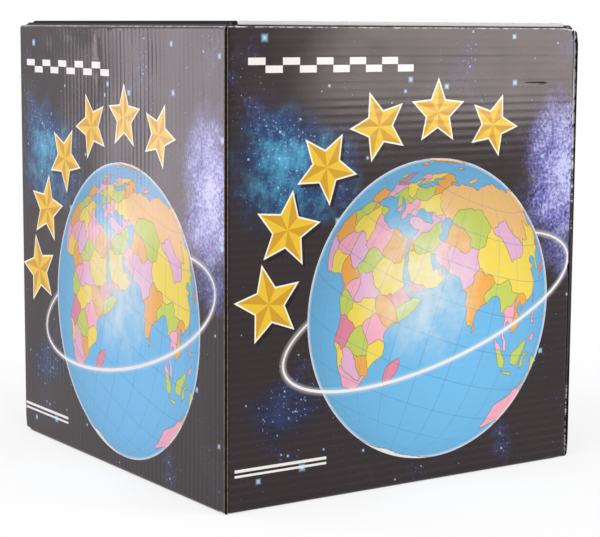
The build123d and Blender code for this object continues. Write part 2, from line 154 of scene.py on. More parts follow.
# Coasts of the printed map, as longitude and latitude in degrees
coasts = {
    "africa": [
        (-6, 35.8), (3, 36.9), (10, 37.3), (11, 33.5), (15, 32.3), (20, 30.9), (23, 32.7), (29, 31),
        (32.5, 31.2), (34, 28), (35.5, 24), (37.3, 20), (39.5, 15.5), (43, 12.3), (45, 10.7), (51.2, 11.8),
        (50, 8), (47.5, 4), (43, 0), (40.5, -2.6), (39, -6), (40.5, -11), (40.5, -15), (36.5, -18.5),
        (35, -22), (35.5, -24), (32.8, -26.5), (31, -30), (27.5, -33.3), (22, -34.2), (18.4, -34.2),
        (17.5, -31), (15, -26.5), (14.2, -22), (12, -17.5), (13.6, -12), (13, -8.5), (12, -5.5), (9, -1),
        (9.5, 3.5), (7, 4.4), (4, 6.3), (-2, 4.9), (-7.5, 4.4), (-13, 8.5), (-15, 11), (-17.3, 14.7),
        (-16.3, 19), (-17, 21.5), (-13, 27.7), (-9.8, 30), (-9, 32.8),
    ],
    "eurasia": [
        (-5.5, 36.1), (-1, 37.2), (0.3, 39.5), (3.2, 42.3), (6.5, 43.2), (8.8, 44.4), (10.5, 42.7),
        (13, 41.2), (15.7, 40), (15.8, 38), (18.4, 40.1), (16, 41.8), (13.5, 43.7), (12.4, 45.3), (14, 45),
        (17, 43), (19.4, 41.5), (20, 39.5), (22, 37), (24, 38), (23.5, 40.4), (26, 40.8), (29, 41.2),
        (28, 43.5), (30.5, 46), (33, 45), (35, 45.2), (38.5, 47), (37.5, 45), (41.5, 42), (38, 41),
        (31.5, 41.4), (28, 40.3), (27, 38), (28.5, 36.7), (33, 36.2), (36, 36.5), (35, 33), (34.3, 31.2),
        (34.8, 29.4), (37, 25), (39.2, 21), (42.7, 16.5), (43.5, 12.8), (48, 14), (52.5, 16.5), (55.5, 18),
        (59.6, 22.5), (56.5, 24.5), (56.3, 26.2), (52, 24.2), (50.3, 26.2), (48, 29.7), (50.3, 30),
        (51.5, 27.8), (56.7, 27.1), (61.5, 25.1), (66.7, 25), (68.5, 23.3), (70.5, 20.9), (72.8, 20),
        (73, 17), (74.5, 13.5), (77.3, 8.2), (79.9, 10.5), (80.2, 14), (82.5, 16.8), (86.7, 20.2),
        (89, 21.8), (92, 22), (94.3, 18), (94.4, 16), (97.4, 16.6), (98.5, 13), (98.3, 8.5), (100.3, 5.5),
        (101.4, 2.7), (103.8, 1.4), (103.4, 4.5), (101, 6.9), (99.3, 9.5), (100.3, 13.4), (102.5, 12),
        (105, 8.8), (106.8, 10.4), (109.3, 12), (108.8, 15.2), (105.8, 19), (108, 21.5), (110.3, 20.5),
        (113.6, 22.2), (117, 23.6), (119.7, 26), (121.8, 29), (121.8, 31.3), (119.3, 35), (122.4, 37),
        (118, 38.5), (121.5, 40.8), (125, 39.7), (125, 37.7), (126.4, 34.6), (129.3, 35.5), (128.5, 38.5),
        (130.5, 42.4), (135, 43.5), (140.3, 48.3), (141.3, 53), (137.5, 54), (142, 59), (151, 59.3),
        (155.5, 59.3), (156, 51.5), (160, 53), (163, 58), (164.5, 60), (170, 60), (177, 62.5), (179.5, 65),
        (179, 68.8), (171, 70), (160.5, 69.6), (150, 71.5), (139.5, 72.3), (129, 71), (127, 73.2),
        (113, 73.8), (104, 77.6), (98, 76), (87, 75), (80.5, 73), (73, 71.5), (68.5, 68.5), (60, 69),
        (54, 68.5), (46, 68), (43.5, 66), (40, 64.6), (35, 64.4), (34.5, 66.5), (41, 67), (33, 69.4),
        (28, 71), (20, 70), (15, 68.2), (12.5, 65.5), (10, 63.6), (5.2, 61.8), (5.5, 59), (8.3, 58.1),
        (10.7, 59.3), (12.8, 55.6), (16.3, 56.5), (18.8, 60), (17.3, 62), (21.5, 64.5), (24.5, 65.8),
        (22, 62.8), (21.5, 60.8), (28, 60.5), (24, 59.4), (24, 57.2), (21, 57), (20.8, 55), (14.3, 54),
        (10.9, 54.2), (10.5, 57.5), (8.2, 56.8), (8.7, 54), (4.5, 52.5), (1.7, 50.8), (-1.7, 49.6),
        (-4.7, 48.4), (-1.3, 46), (-1.6, 43.4), (-8.8, 43.3), (-9.3, 38.7), (-8.8, 37),
    ],
    "northAmerica": [
        (-168, 65.7), (-162, 66.5), (-166.5, 68.3), (-156.5, 71.2), (-141, 69.6), (-128, 70.2),
        (-115, 68.2), (-108, 67.8), (-96, 67.7), (-94, 71.8), (-86, 69.5), (-82, 67.5), (-87, 64.5),
        (-94.5, 60), (-92.5, 57), (-85, 55.3), (-82.3, 52.8), (-79.3, 51.3), (-78.7, 54.5), (-77, 57.5),
        (-78.3, 62.4), (-70, 61), (-64.5, 60.3), (-61.5, 56.5), (-56, 52.5), (-66, 50.2), (-71, 46.9),
        (-65, 48.8), (-64.5, 46.2), (-60.5, 46.2), (-66, 43.7), (-70.5, 43.2), (-70, 41.7), (-74, 40.5),
        (-76, 36.5), (-77.5, 34.2), (-81.3, 31.2), (-80.1, 26), (-81.8, 26), (-83, 29.5), (-89.5, 30.2),
        (-94.5, 29.4), (-97.3, 27.5), (-97.7, 22.5), (-95.5, 18.6), (-91, 18.7), (-90.3, 21.1), (-87, 21.4),
        (-88.3, 16.2), (-83.3, 15), (-83.6, 11), (-79.7, 9.4), (-77.9, 8.6), (-80, 7.4), (-84.8, 9.8),
        (-87.6, 13), (-94, 16.1), (-101, 17.4), (-105.6, 20.4), (-109, 25.5), (-112.8, 31), (-114.6, 31),
        (-110, 23.2), (-112.2, 25), (-115.5, 29.7), (-117.3, 33), (-121, 35), (-124.2, 40.3), (-124, 46.3),
        (-123, 49), (-128, 51), (-131.5, 55.5), (-139, 59.7), (-148.5, 60), (-154, 58), (-160, 55.4),
        (-157.5, 58.7), (-165, 61.2), (-161, 64.3),
    ],
    "southAmerica": [
        (-77, 8.3), (-75, 11), (-71.6, 12.3), (-68, 11.2), (-62, 10.7), (-57, 6), (-51.3, 4.3), (-50, 0.2),
        (-44.5, -2.7), (-38.5, -3.8), (-35, -7.2), (-37, -11.5), (-39.2, -16.5), (-40.8, -21.8),
        (-44.5, -23.2), (-48.5, -26.5), (-50.5, -30.5), (-54, -34.5), (-58, -34.2), (-57, -36.8),
        (-62, -39), (-65, -41.2), (-64, -43), (-67.3, -46.5), (-66, -48), (-69, -51.5), (-68.2, -53.2),
        (-66, -55), (-71, -54.5), (-74.3, -51), (-75, -47), (-73.5, -41.8), (-73.5, -37), (-71.5, -31),
        (-70.3, -23), (-70.4, -18.3), (-76.2, -14), (-81.2, -6), (-80.3, -3.3), (-80, 0.8), (-77.5, 3.8),
    ],
    "australia": [
        (113.7, -22.5), (114, -26.5), (115.7, -32), (115.2, -34.3), (118.5, -35), (123.6, -33.9),
        (129, -31.7), (134, -32.9), (137.7, -35.2), (140, -37.8), (146.3, -39), (149.9, -37.4),
        (151.3, -33.5), (153.5, -28.5), (150.8, -23.4), (146.3, -19), (145.3, -15.2), (142.6, -10.8),
        (141.6, -15), (139.3, -17.5), (135.7, -15), (136.8, -12.2), (132.5, -11.4), (129.6, -14.9),
        (125.8, -14.3), (122.2, -18), (117, -20.6),
    ],
    "greenland": [
        (-44, 60), (-53.5, 67), (-54.5, 71), (-67.5, 76), (-60, 81.5), (-33, 83.4), (-18, 80), (-20, 74.5),
        (-22.5, 70.5), (-33, 67.5), (-41, 64.5),
    ],
    "madagascar": [
        (49.3, -12.2), (50.3, -15.8), (48.5, -20), (47, -25), (44.2, -25), (43.5, -22), (44.3, -17.5),
        (47, -15.3),
    ],
    "britain": [
        (-5.3, 50.1), (1.2, 51.2), (1.6, 52.7), (-0.2, 54), (-2, 56.5), (-3.5, 58.6), (-5.5, 57.5),
        (-4.9, 54.8), (-3, 53.5), (-4.8, 52.2),
    ],
    "ireland": [(-6.2, 52.2), (-9.8, 51.8), (-9.5, 54.2), (-7.3, 55.3), (-5.8, 54.3)],
    "iceland": [(-22.5, 64), (-18.5, 63.4), (-13.8, 64.8), (-16, 66.4), (-22, 66.3), (-24, 65.5)],
    "svalbard": [(12, 78.5), (20, 77.5), (27, 80), (17, 80)],
    "arcticIsland": [(52, 71), (57.5, 71), (68, 76.5), (60, 76)],
    "sriLanka": [(80, 9.7), (81.8, 7.2), (80.3, 6)],
    "sumatra": [(95.3, 5.6), (98.5, 3.7), (103.6, -1), (106, -3.5), (105.7, -5.8), (102, -4), (98.5, 0)],
    "java": [(105.3, -6.8), (108.5, -6.6), (112.7, -6.9), (114.5, -8.4), (109, -7.8)],
    "borneo": [
        (109, 1.5), (111.5, 2.7), (115, 5), (117, 6.9), (119, 5), (117.7, 1), (116, -3.8), (111, -3.3),
        (109.5, -1),
    ],
    "sulawesi": [(119.8, 0.5), (125, 1.5), (121, -1), (123, -4), (120.4, -5.5), (119, -3)],
    "newGuinea": [
        (131, -0.8), (134.5, -1), (138, -1.7), (144.5, -3.9), (147.8, -6), (150.8, -10.4), (146, -8.8),
        (142, -9.2), (138, -8.3), (133, -4),
    ],
    "luzon": [(120.5, 18.4), (122.2, 18.3), (121.6, 15.8), (124, 13), (120.7, 13.8), (119.9, 16)],
    "mindanao": [(122, 7), (125.5, 9.7), (126.4, 7), (125.4, 5.7)],
    "taiwanIsland": [(121.5, 25.2), (120.2, 23), (120.9, 22)],
    "hainan": [(108.8, 19.2), (110.9, 20), (110, 18.4)],
    "honshu": [
        (130, 31.3), (132, 33), (135.5, 33.6), (138.5, 34.7), (140.7, 35.8), (141.9, 39.4), (141.2, 41.4),
        (139.8, 39.5), (136.8, 37), (133, 35.5), (130.5, 34),
    ],
    "hokkaido": [(140.2, 41.8), (143.2, 42.2), (145.4, 43.5), (142, 45.4)],
    "sakhalin": [(142, 46.2), (143.5, 49.5), (143, 54.2), (142, 52)],
    "tasmania": [(144.7, -40.8), (148.3, -41), (147.3, -43.5), (146, -43.5)],
    "zealandNorth": [
        (172.8, -34.5), (175.5, -36.8), (178.4, -37.8), (176.8, -40.4), (174.8, -41.4), (174, -39),
    ],
    "zealandSouth": [
        (172.8, -40.7), (174.2, -41.8), (170.8, -45.8), (168.4, -46.6), (166.6, -45.8), (170.5, -43),
    ],
    "baffin": [
        (-62, 66.5), (-66, 62), (-73, 64.5), (-77, 67.5), (-88, 71), (-85, 73.5), (-76, 72.5), (-68, 70),
    ],
    "victoria": [(-116, 69), (-103, 69), (-106, 73), (-118, 72.5)],
    "ellesmere": [(-80, 76.3), (-90, 76.8), (-92, 81), (-70, 83), (-64, 81.5), (-76, 78.5)],
    "newfoundland": [(-59.3, 47.7), (-53, 46.7), (-54, 49.5), (-56.8, 51.5)],
    "cuba": [(-84.8, 21.9), (-80.5, 23), (-74.3, 20.2), (-77.6, 20)],
    "hispaniola": [(-74.4, 18.4), (-72.5, 19.9), (-68.5, 18.6), (-71.5, 17.7)],
}
caspian = [(47, 42), (48, 46.3), (52.5, 46.8), (53, 42.5), (53.8, 38), (51, 36.8), (49, 38), (49.5, 41)]
antarctic = [
    (-180, -78), (-160, -78), (-130, -74.5), (-100, -73), (-75, -73), (-66, -67), (-57, -63.5), (-62, -66),
    (-61, -72), (-77, -77), (-60, -80), (-40, -78), (-27, -76), (-10, -71), (20, -70), (40, -69), (55, -66),
    (70, -68), (90, -66.5), (110, -66), (135, -66), (150, -68.5), (170, -71.5), (164, -77.5), (180, -78),
]

# Middle of each coloured land, with its ink
lands = [
    (-4, 40, "o"), (2, 47, "l"), (10, 51, "y"), (12.5, 43, "g"), (21, 43, "p"), (20, 52, "g"),
    (32, 49, "y"), (8, 61, "p"), (15, 63, "y"), (26, 63, "o"), (-2, 54, "r"), (-8, 53, "g"), (34, 39, "l"),
    (45, 58, "b"), (65, 62, "b"), (90, 63, "b"), (125, 64, "b"), (152, 64, "b"), (113, 53, "b"),
    (67, 48, "g"), (60, 39, "o"), (54, 32, "p"), (45, 24, "y"), (43, 33, "g"), (66, 31, "l"), (79, 23, "o"),
    (77, 14, "o"), (103, 46.5, "l"), (105, 34, "y"), (88, 37, "y"), (117, 36, "y"), (125, 46, "y"),
    (96, 21, "g"), (101, 16, "p"), (107, 15, "o"), (102, 4, "l"), (101, -1, "g"), (110, -7, "g"),
    (114, -1, "g"), (121, -3, "g"), (136, -5, "g"), (145, -7, "y"), (122, 13, "p"), (138, 37, "r"),
    (128, 37, "g"), (-7, 31, "g"), (3, 28, "y"), (17, 27, "p"), (29, 27, "o"), (-10, 20, "o"),
    (-2, 17, "p"), (9, 17, "l"), (18, 15, "g"), (30, 14, "y"), (40, 8, "r"), (47, 5, "g"), (8, 9, "o"),
    (-11, 9, "l"), (-2, 8, "y"), (13, 5, "p"), (21, 6.5, "l"), (23, -3, "y"), (12, -1, "g"), (38, 0, "o"),
    (35, -6, "p"), (18, -12, "r"), (27, -14, "g"), (37, -15, "y"), (30, -19.5, "o"), (17, -22, "y"),
    (24, -22, "l"), (24, -30, "p"), (47, -19, "r"), (-152, 65, "y"), (-118, 60, "p"), (-95, 58, "p"),
    (-72, 53, "p"), (-112, 40, "y"), (-88, 39, "y"), (-102, 24, "g"), (-87, 14, "o"), (-78, 21, "r"),
    (-74, 4, "o"), (-66, 7, "g"), (-57, 4, "p"), (-52, -9, "y"), (-76, -9, "l"), (-64, -17, "g"),
    (-73, -34, "o"), (-65, -36, "p"), (-58, -23, "r"), (-56, -33, "l"), (-40, 73, "b"), (-19, 65, "o"),
    (122, -26, "p"), (135, -24, "p"), (146, -28, "p"), (172, -42, "y"),
]

# Map, in degrees
mapPlan = {
    "seed": 5, "coastStep": 1.4, "coastNoise": 0.36, "coastWobble": 0.75, "coastLayer": 4.2,
    "borderStep": 1.0, "settleSteps": 12, "driftLayer": 9.1,
    "drifts": ((9.0, 4.6), (4.0, 1.8), (1.7, 0.45)),  # size and reach of the borders' bends
    "squeeze": 0.8,  # of longitude, in the bounds too
    "bounds": ((-143.0, -58.0), (143.0, -58.0), (143.0, 83.0), (-143.0, 83.0)),
    "gridGap": 15.0, "farFromLine": 9.0,  # farFromLine is in millimetres
}
noise.seed_set(mapPlan["seed"])  # so that coasts and borders wander alike each run


def wander(points, layer, reach=1.0):  # smooth random shift of each point
    moved = [noise.noise_vector(Vector((x, y, layer))) * reach for x, y in points]
    return np.array([(m.x, m.y) for m in moved]).reshape(-1, 2)


def smoothLine(points, closed=True):
    pts = np.array(points, float)
    line = []
    for i in range(len(pts) if closed else len(pts) - 1):
        a, b, c, d = pts.take(range(i - 1, i + 3), axis=0, mode="wrap" if closed else "clip")
        steps = max(1, round(math.dist(b, c) / mapPlan["coastStep"]))
        for t in (j / steps for j in range(steps)):
            bow, twist = 2 * a - 5 * b + 4 * c - d, 3 * b - a - 3 * c + d
            line.append(0.5 * (2 * b + (c - a) * t + bow * t * t + twist * t ** 3))
    line = np.array(line if closed else [*line, pts[-1]])
    line = line + wander(line * mapPlan["coastNoise"], mapPlan["coastLayer"], mapPlan["coastWobble"])
    if not closed:  # both ends meet at the date line
        line[0], line[-1] = pts[0], pts[-1]
    return line


def insideLine(points, outline):  # even-odd rule
    x, y = points.T
    inside = np.zeros(len(points), bool)
    for (ax, ay), (bx, by) in zip(outline, np.roll(outline, -1, axis=0)):
        if ay != by:
            inside ^= ((ay > y) != (by > y)) & (x < (bx - ax) * (y - ay) / (by - ay) + ax)
    return inside


def drift(points):  # slow bends that keep borders from being straight
    return sum(reach * wander(points / size, mapPlan["driftLayer"]) for size, reach in mapPlan["drifts"])


coastLines = [smoothLine(points) for points in coasts.values()]
lakeLine, iceLine = smoothLine(caspian), smoothLine(antarctic, closed=False)
iceField = np.vstack([iceLine, [(180, -90), (-180, -90)]])
landSeeds = np.array([(lon, lat) for lon, lat, code in lands], float)
landInk = [code for lon, lat, code in lands]
inkNames = list(inks)
inkTable = np.array([paint(code)[:3] for code in inks.values()])


def onLand(points):
    land = np.any([insideLine(points, outline) for outline in coastLines], axis=0)
    return land & ~insideLine(points, lakeLine)


def mapInk(points):  # index into inkNames for each longitude and latitude
    settled = points
    for again in range(mapPlan["settleSteps"]):
        settled = (settled + points - drift(settled)) / 2
    squeeze = np.array([mapPlan["squeeze"], 1.0])
    gaps = (((settled * squeeze)[:, None] - landSeeds * squeeze) ** 2).sum(-1)
    code = np.array([inkNames.index(code) for code in landInk])[gaps.argmin(1)]
    code = np.where(onLand(points), code, inkNames.index("ocean"))
    return np.where(insideLine(points, iceField), inkNames.index("ice"), code)


def borderPieces():  # edges between the cells round the lands' middles, where they cross land
    squeeze = mapPlan["squeeze"]
    seeds = [(lon * squeeze, lat) for lon, lat in landSeeds]
    pieces = []
    for i, (sx, sy) in enumerate(seeds):
        cell = [(x, y, -1) for x, y in mapPlan["bounds"]]  # each corner has the land across its next edge
        for j, (tx, ty) in enumerate(seeds):
            if j == i:
                continue
            nx, ny = tx - sx, ty - sy
            limit = (tx * tx + ty * ty - sx * sx - sy * sy) / 2
            kept = []
            for (px, py, label), (qx, qy, after) in zip(cell, cell[1:] + cell[:1]):
                dp, dq = nx * px + ny * py - limit, nx * qx + ny * qy - limit
                if dp <= 0:
                    kept.append((px, py, label))
                if (dp <= 0) != (dq <= 0):
                    cut = dp / (dp - dq)
                    kept.append((px + (qx - px) * cut, py + (qy - py) * cut, j if dp <= 0 else label))
            cell = kept
        for (px, py, label), (qx, qy, after) in zip(cell, cell[1:] + cell[:1]):
            if label <= i or landInk[i] == landInk[label]:
                continue
            p, q = np.array((px / squeeze, py)), np.array((qx / squeeze, qy))
            steps = max(1, round(math.dist(p, q) / mapPlan["borderStep"]))
            line = np.array([p + (q - p) * s / steps for s in range(steps + 1)])
            line = line + drift(line)
            kept = onLand((line[1:] + line[:-1]) / 2)
            pieces += [line[s:s + 2] for s in range(steps) if kept[s]]
    return pieces


borderLines = borderPieces()
worldLines = [(line, True) for line in [*coastLines, lakeLine]]  # points, and whether they close
worldLines += [(line, False) for line in [iceLine, *borderLines]]
print("map drawn:", len(coastLines), "coasts,", len(borderLines), "border pieces")


def mapDirection(points):
    lon, lat = np.radians(points).T
    return np.stack([np.cos(lat) * np.cos(lon), np.cos(lat) * np.sin(lon), np.sin(lat)], axis=1)


def pictureTurn():  # rows are the picture's right, up and out
    lon, lat, roll = (math.radians(picture[k]) for k in ("viewLon", "viewLat", "viewRoll"))
    east = np.array((-math.sin(lon), math.cos(lon), 0))
    north = np.array((-math.sin(lat) * math.cos(lon), -math.sin(lat) * math.sin(lon), math.cos(lat)))
    right = east * math.cos(roll) - north * math.sin(roll)
    upward = east * math.sin(roll) + north * math.cos(roll)
    return np.stack([right, upward, np.cross(right, upward)])


turn = pictureTurn()
globeCentre, globeRadius = np.array(picture["globeCentre"]), picture["globeRadius"]


def projectLine(line, closed):  # runs of a map line that the picture shows, ended on the limb
    seen = mapDirection(line) @ turn.T
    if closed:
        seen = np.vstack([seen, seen[:1]])
    reach = np.where(seen[:, 2] > 0, 1, np.hypot(*seen[:, :2].T))
    flat = globeCentre + globeRadius * (seen[:, :2] / reach[:, None])
    runs, run = [], []
    for i in range(len(flat) - 1):
        if seen[i, 2] <= 0 and seen[i + 1, 2] <= 0:
            continue
        run = [*(run or [flat[i]]), flat[i + 1]]
        if seen[i + 1, 2] <= 0:
            runs.append(np.array(run))
            run = []
    return runs + [np.array(run)] if run else runs


def ringLine(grow):  # outer or inner edge of the printed ring, which is thinner at the back
    (wide, high), (thin, thick) = picture["orbit"], picture["orbitBand"]
    tilt = math.radians(picture["orbitTilt"])
    line = []
    for i in range(picture["orbitSteps"]):
        a = math.tau * i / picture["orbitSteps"]
        half = (thin + (thick - thin) * (1 - math.sin(a)) / 2) / 2 * grow
        nx, ny = math.cos(a) / wide, math.sin(a) / high
        size = math.hypot(nx, ny)
        x, y = wide * math.cos(a) + half * nx / size, high * math.sin(a) + half * ny / size
        line.append((x * math.cos(tilt) - y * math.sin(tilt), x * math.sin(tilt) + y * math.cos(tilt)))
    return globeCentre + np.array(line)


def starLine(centre, size, lean):
    points = []
    for i in range(10):
        reach = size * (picture["starWaist"] if i % 2 else 1.0)
        a = math.radians(90 + 36 * i + lean)
        points.append((centre[0] + reach * math.cos(a), centre[1] + reach * math.sin(a)))
    return np.array(points)


def buildPicture():
    circle = np.radians(np.arange(0, 360, picture["rimStep"]))
    disc = globeCentre + globeRadius * np.stack([np.cos(circle), np.sin(circle)], axis=1)
    rings = [ringLine(grow) for grow in (1, -1)]
    # Lines are points, whether they close, and whether they are stroked on the map
    lines = [(disc, True, False), (globeCentre + picture["rimFrom"] * (disc - globeCentre), True, False)]
    lines += [(run, False, True) for line, closed in worldLines for run in projectLine(line, closed)]
    lines += [(ring, True, False) for ring in rings]
    stars, bars = [], []
    first, last = picture["starSize"]
    for i in range(picture["starCount"]):
        share = i / (picture["starCount"] - 1)
        angle = picture["starFrom"] + (picture["starTo"] - picture["starFrom"]) * share
        away = np.array((math.cos(math.radians(angle)), math.sin(math.radians(angle))))
        centre, lean = globeCentre + picture["starArc"] * away, angle - 90
        size = first + (last - first) * share
        body, rim = (starLine(centre, size + grow, lean) for grow in (0, picture["starRim"]))
        shade = rim + picture["starShadow"]
        stars.append({"centre": centre, "lean": lean, "body": body, "rim": rim, "shade": shade})
        lines += [(part, True, False) for part in (body, rim, shade)]
        lines += [(np.array([centre, tip]), False, False) for tip in body]
    (x, y), (wide, high), (raised, tall) = picture["barAt"], picture["barCell"], picture["barShares"]
    for i in range(picture["barCells"]):  # a map's scale bar, its cells up and down in turn
        low = y + high * raised * (1 - i % 2)
        bars.append((x + wide * i, low, x + wide * (i + 1), low + high * tall))
    (x, y), (wide, high), (first, second) = picture["ruleAt"], picture["ruleSize"], picture["ruleShares"]
    bars += [(x, y, x + wide, y + high * first), (x, y + high * second, x + wide, y + high)]
    lines += [(np.array([(x0, y0), (x1, y0), (x1, y1), (x0, y1)]), True, False) for x0, y0, x1, y1 in bars]
    return SimpleNamespace(lines=lines, rings=rings, stars=stars, bars=bars)


drawing = buildPicture()


def mapPlaceAt(points):  # longitude and latitude that the globe picture shows, and its limb's outside it
    flat = (points - globeCentre) / globeRadius
    x, y = (flat / np.maximum(1, np.hypot(*flat.T))[:, None]).T
    a, b, c = (np.stack([x, y, np.sqrt(np.maximum(0, 1 - x * x - y * y))], axis=1) @ turn).T
    return np.degrees(np.stack([np.arctan2(b, a), np.arcsin(np.clip(c, -1, 1))], axis=1))


def inkAt(points):  # ink index, whether there is ink, and whether it is the map's, at each point
    flat = (points - globeCentre) / globeRadius
    disc = (flat ** 2).sum(1) < 1
    code, cover, onMap = np.zeros(len(points), int), disc.copy(), disc.copy()
    code[disc] = mapInk(mapPlaceAt(points[disc]))

    def lay(here, ink):
        code[here], cover[here], onMap[here] = inkNames.index(ink), True, False

    tilt = math.radians(picture["orbitTilt"])
    front = -math.sin(tilt) * flat[:, 0] + math.cos(tilt) * flat[:, 1] < 0
    outer, inner = (insideLine(points, ring) for ring in drawing.rings)
    lay(outer & ~inner & (front | ~disc), "white")
    for x0, y0, x1, y1 in drawing.bars:
        lay(((points > (x0, y0)) & (points < (x1, y1))).all(1), "white")
    for star in drawing.stars:
        for part, ink in (("shade", "shadow"), ("rim", "rim"), ("body", "gold")):
            lay(insideLine(points, star[part]), ink)
        arm = points - star["centre"]
        facet = np.floor((np.degrees(np.arctan2(arm[:, 1], arm[:, 0])) - 90 - star["lean"]) / 36)
        lay(insideLine(points, star["body"]) & (facet % 2 == 1), "goldDark")
    return code, cover, onMap


def globeShade(points):  # studio shading printed with the globe picture
    x, y = ((points - globeCentre) / globeRadius).T
    depth = np.sqrt(np.clip(1 - x * x - y * y, 0, 1))
    (a, b, c), (dark, gain) = picture["shadeLight"], picture["shadeRange"]
    return dark + gain * np.clip(a * x + b * y + c * depth, 0, 1)


def splitChords(flat, triangles, lineEdges):  # so that no triangle spans two map lines
    onLine = np.zeros(len(flat), bool)
    onLine[list({i for edge in lineEdges for i in edge})] = True
    points, made, middles = [tuple(p) for p in flat], [], {}
    for t in triangles:
        ring, lines = [], 0
        for k in range(3):
            a, b = int(t[k]), int(t[(k + 1) % 3])
            key = (min(a, b), max(a, b))
            ring.append(a)
            if key in lineEdges:
                lines += 1
            elif onLine[a] and onLine[b]:
                if key not in middles:
                    middles[key] = len(points)
                    points.append(tuple((flat[a] + flat[b]) / 2))
                ring.append(middles[key])
        if len(ring) == 3 and lines < 2:
            made.append(tuple(ring))
            continue
        points.append(tuple(flat[t].mean(0)))
        made += [(ring[k], ring[(k + 1) % len(ring)], len(points) - 1) for k in range(len(ring))]
    onLine = np.concatenate([onLine, np.zeros(len(points) - len(flat), bool)])
    return np.array(points), np.array(made), onLine


def cornerGaps(spots, triangles, lineEdges, onLine):  # distance from each corner to its triangle's map line
    gaps = np.full((len(triangles), 3), mapPlan["farFromLine"])
    for n, t in enumerate(triangles):
        held = onLine[t]
        if not held.any():
            continue
        gaps[n, held] = 0
        for k in range(3):
            a, b, c = (int(t[(k + j) % 3]) for j in range(3))
            if (min(a, b), max(a, b)) in lineEdges:
                along, arm = spots[b] - spots[a], spots[c] - spots[a]
                size = math.sqrt(along @ along)
                gaps[n, (k + 2) % 3] = math.sqrt(max(arm @ arm - (arm @ along / size) ** 2, 0))
                break
        else:
            first = spots[t[np.flatnonzero(held)[0]]]
            gaps[n, ~held] = np.linalg.norm(spots[t[~held]] - first, axis=1)
    return gaps


def layOut(lines):  # triangles inside the first line that keep the others; a lone point is a line too
    points, edges, stroked = [], [], []
    for line, closed, onMap in lines:
        first, count = len(points), len(line)
        points += [Vector(p) for p in line]
        edges += [(first + i, first + (i + 1) % count) for i in range(count if closed else count - 1)]
        stroked += [onMap] * (len(edges) - len(stroked))
    spots, joins, triangles, _, sources, _ = delaunay_2d_cdt(points, edges, [], 1, 1e-4, True)
    flat, triangles = np.array([(p.x, p.y) for p in spots]), np.array(triangles)
    corner = flat[triangles]
    area = np.cross(corner[:, 1] - corner[:, 0], corner[:, 2] - corner[:, 0])
    triangles[area < 0] = triangles[area < 0][:, ::-1]
    lineEdges = {(min(e), max(e)) for e, source in zip(joins, sources) if any(stroked[i] for i in source)}
    flat, triangles, onLine = splitChords(flat, triangles, lineEdges)
    return flat, triangles, lineEdges, onLine


# Finishes


def newFinish(name, values):
    finish = bpy.data.materials.new(name)
    finish.use_nodes = True
    for key, value in values.items():
        finish.node_tree.nodes["Principled BSDF"].inputs[key].default_value = value
    return finish, partial(addNode, finish.node_tree)


def blend(add, share, under, over, **settings):  # by the Mix node's colour sockets
    return add("Mix", {0: share, 6: under, 7: over}, 2, data_type="RGBA", **settings)


def dress(finish, colour, gloss, *reliefs):  # each relief is a height, a strength and a depth in millimetres
    tree, ends = finish.node_tree, {"Base Color": colour, "Roughness": gloss}
    for height, strength, depth in reliefs:
        below = {"Normal": ends["Normal"]} if "Normal" in ends else {}
        relief = {"Height": height, "Strength": strength, "Distance": depth * mm, **below}
        ends["Normal"] = addNode(tree, "Bump", relief)
    for name, socket in ends.items():
        if socket:
            tree.links.new(socket, tree.nodes["Principled BSDF"].inputs[name])
    return finish


# Print under the film, sizes in millimetres, the grid line's in degrees
film = {
    "black": "#272021", "thinInk": "#1b1617", "scuff": "#c9c8cd",
    "mists": ((46, 8, 0.6), (19, 10, 0.68), (2.4, 3, 0.6)),  # puffs, dust and grit: size, detail, roughness
    "clouds": (
        {"at": (54.0, 228.0), "size": (78.0, 66.0), "inks": ("#0d1831", "#183e6c", "#4ba3c8"), "grit": 0.3},
        {"at": (296.0, 214.0), "size": (62.0, 100.0), "inks": ("#25224c", "#6d6cb4", "#c4c8f4"), "grit": 0.9},
        {"at": (44.0, 66.0), "size": (56.0, 34.0), "inks": ("#171422", "#191d36", "#22345f"), "grit": 0.3},
    ),
    "stars": (  # cell, size, rarity, ink, and whether they keep to the clouds
        (3.4, 0.8, 3.2, "#a9b8ee", True), (6.5, 1.1, 3.2, "#8fb0ea", True), (15.0, 2.0, 3.2, "#b9d2f7", True),
        (31.0, 3.5, 2.3, "#a6d4f6", False),
    ),
    "smallestStar": 0.002,
    "gridLine": (0.08, 0.26, 0.5), "stroke": (0.12, 0.42, 0.72),  # core, edge and strength
    "glow": (0.4, 3.8, 0.36),
    "haze": ((164.0, 146.0), 88.0, "#eef2ea"),
    "ribHeight": 0.014, "ribDrift": 11, "ribPatch": 85, "rub": 4.5, "glossPatch": 24, "paperGrain": 0.9,
}


